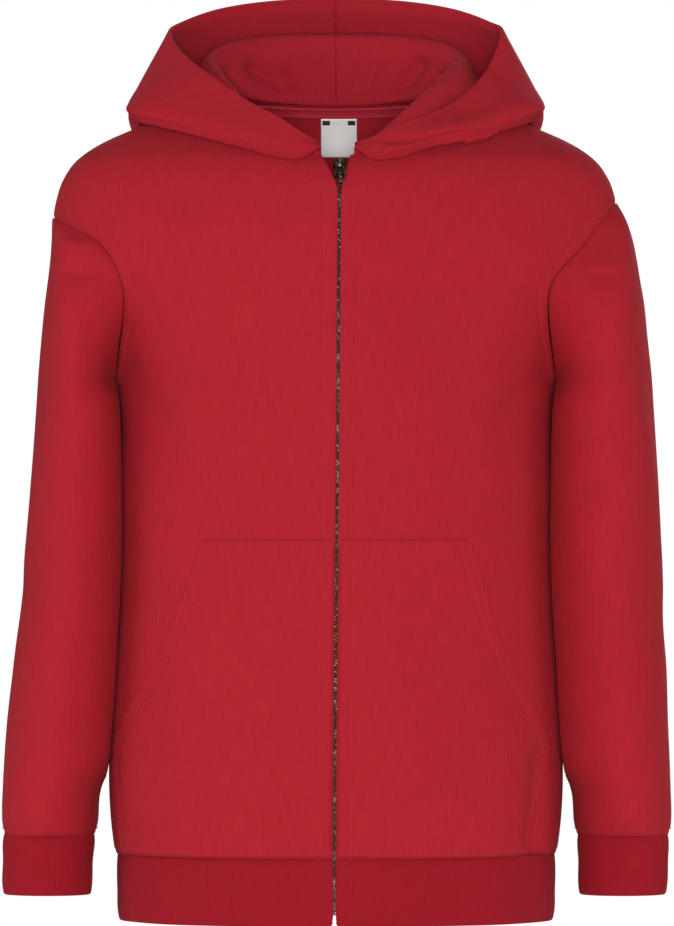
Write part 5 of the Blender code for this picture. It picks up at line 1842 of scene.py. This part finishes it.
    def pull_tab(self) -> bpy.types.Object:
        """The pull tab: an eye, a short neck and a ring, hung on the bail."""
        bar_y = -self.face_stand - self.plate_wall - self.tab_bar_stand
        corner = np.linspace(0, 2 * HALF_TURN, 33)[:-1]
        wide, high, middle = self.tab_eye
        eye = [(wide * squared(math.cos(t)), 0.0, middle + high * squared(math.sin(t))) for t in corner]
        wide, high, middle = self.tab_ring
        ring = [(wide * math.cos(t), 0.0, middle + high * math.sin(t)) for t in corner]
        right = [(0.0019, -0.0062), (0.0026, -0.0036), (0.0024, -0.0026)]
        neck = [(-0.0019, -0.0062), *right, (-0.0024, -0.0026), (-0.0026, -0.0036)]
        parts = [
            tube(np.array(eye), self.tab_eye_radius, True),
            plate(neck, -0.0005, 0.0005, 0.0002),
            tube(np.array(ring), self.tab_ring_radius, True, 0.85),
        ]
        obj = joined("zip_pull", parts)
        obj.data.transform(self.frame() @ Matrix.Translation((0.0, bar_y, self.tab_bar_height)))
        return dress_piece(obj, BRASS, "pull_tab")

    def box(self) -> bpy.types.Object:
        """The box that holds the zip's foot."""
        low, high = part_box("zip_box")
        half, middle = (high.x - low.x) / 2, (high.x + low.x) / 2
        right = [(half, low.z), (half, high.z - 0.0008), (0.7 * half, high.z)]
        outline = [(-half, low.z), *right, (-0.7 * half, high.z), (-half, high.z - 0.0008)]
        mesh = plate([(middle + x, z) for x, z in outline], low.y, high.y, 0.0004)
        return dress_piece(joined("zip_foot_box", [mesh]), BRIGHT_BRASS)

    def build(self, nodes: dict[str, bpy.types.Object]) -> None:
        """Builds the zip, and gives its tapes their weave."""
        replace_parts(self.teeth(), "zip_chain")
        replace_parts(self.slider(), "zip_slider")
        self.bail()
        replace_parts(self.pull_tab(), "pull_tab")
        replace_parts(self.box(), "zip_box")
        for side in Side:
            for slot in nodes[side.of("zip_tape")].material_slots:
                slot.material = TAPE.material()


@dataclass
class Stage:
    """The floor, the light and the camera."""

    middle: tuple[float, float, float] = (0.0007, 0.0, -0.2475)
    distance: float = 6.0
    lens: float = 353.0
    floor_drop: float = 0.9
    floor_radius: float = 2.5
    ambient: float = 0.20
    # name, place, size, power
    lamps: tuple = (
        ("front light", (0.0, -7.0, -0.1), 1.3, 318.0),
        ("key light", (-5.4, -1.4, 1.0), 2.6, 92.0),
        ("fill light", (5.4, -1.4, 0.6), 2.6, 62.0),
        ("back light", (0.6, 4.6, 1.4), 3.0, 150.0),
    )

    def floor(self) -> None:
        """A round pale floor well below the garment."""
        mesh = bmesh.new()
        bmesh.ops.create_circle(mesh, cap_ends=True, segments=96, radius=self.floor_radius)
        bmesh.ops.translate(mesh, verts=mesh.verts, vec=(0.0, 0.0, -self.floor_drop))
        obj = mesh_object("floor", mesh)
        obj.data.materials.append(FLOOR.material())

    def lamp(self, name: str, place: tuple[float, float, float], size: float, power: float) -> None:
        """A square soft light that faces the garment."""
        light = bpy.data.lights.new(name, "AREA")
        light.size = size
        light.energy = power
        obj = linked(name, light)
        obj.location = place
        obj.rotation_euler = (Vector(self.middle) - Vector(place)).to_track_quat("-Z", "Y").to_euler()

    def world(self) -> None:
        """A white surround, dimmer as a light than as a backdrop."""
        world = bpy.data.worlds.new("surround")
        world.use_nodes = True
        world.node_tree.nodes.clear()
        graph = Graph(world.node_tree)
        path = graph.add("ShaderNodeLightPath")
        strengths = {"Value": path.outputs["Is Camera Ray"], "To Min": self.ambient, "To Max": 1.0}
        strength = graph.add("ShaderNodeMapRange", strengths)
        white = graph.add("ShaderNodeBackground", {"Color": (1, 1, 1, 1), "Strength": strength.outputs[0]})
        graph.add("ShaderNodeOutputWorld", {"Surface": white.outputs[0]})
        bpy.context.scene.world = world

    def camera(self) -> None:
        """A level camera far in front, where perspective is slight."""
        camera = bpy.data.cameras.new("camera")
        camera.lens = self.lens
        camera.sensor_width = 36.0
        camera.clip_end = 100.0
        obj = linked("camera", camera)
        obj.location = (self.middle[0], -self.distance, self.middle[2])
        obj.rotation_euler = (QUARTER_TURN, 0.0, 0.0)
        bpy.context.scene.camera = obj

    def build(self) -> None:
        """Sets the stage."""
        self.floor()
        self.world()
        for name, place, size, power in self.lamps:
            self.lamp(name, place, size, power)
        self.camera()
        bpy.context.scene.view_settings.view_transform = "Standard"


def main() -> None:
    """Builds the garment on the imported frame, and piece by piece."""
    logging.basicConfig(level=logging.INFO, format="%(name)s: %(message)s")
    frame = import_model()
    Stage().build()
    form = BodyForm()
    Body(form).build()
    Sleeves(form).build()
    Ribbing(form).build()
    Hood(form).build()
    NeckTrim(form).build()
    Zip(form).build(frame["nodes"])


if __name__ == "__main__":
    main()
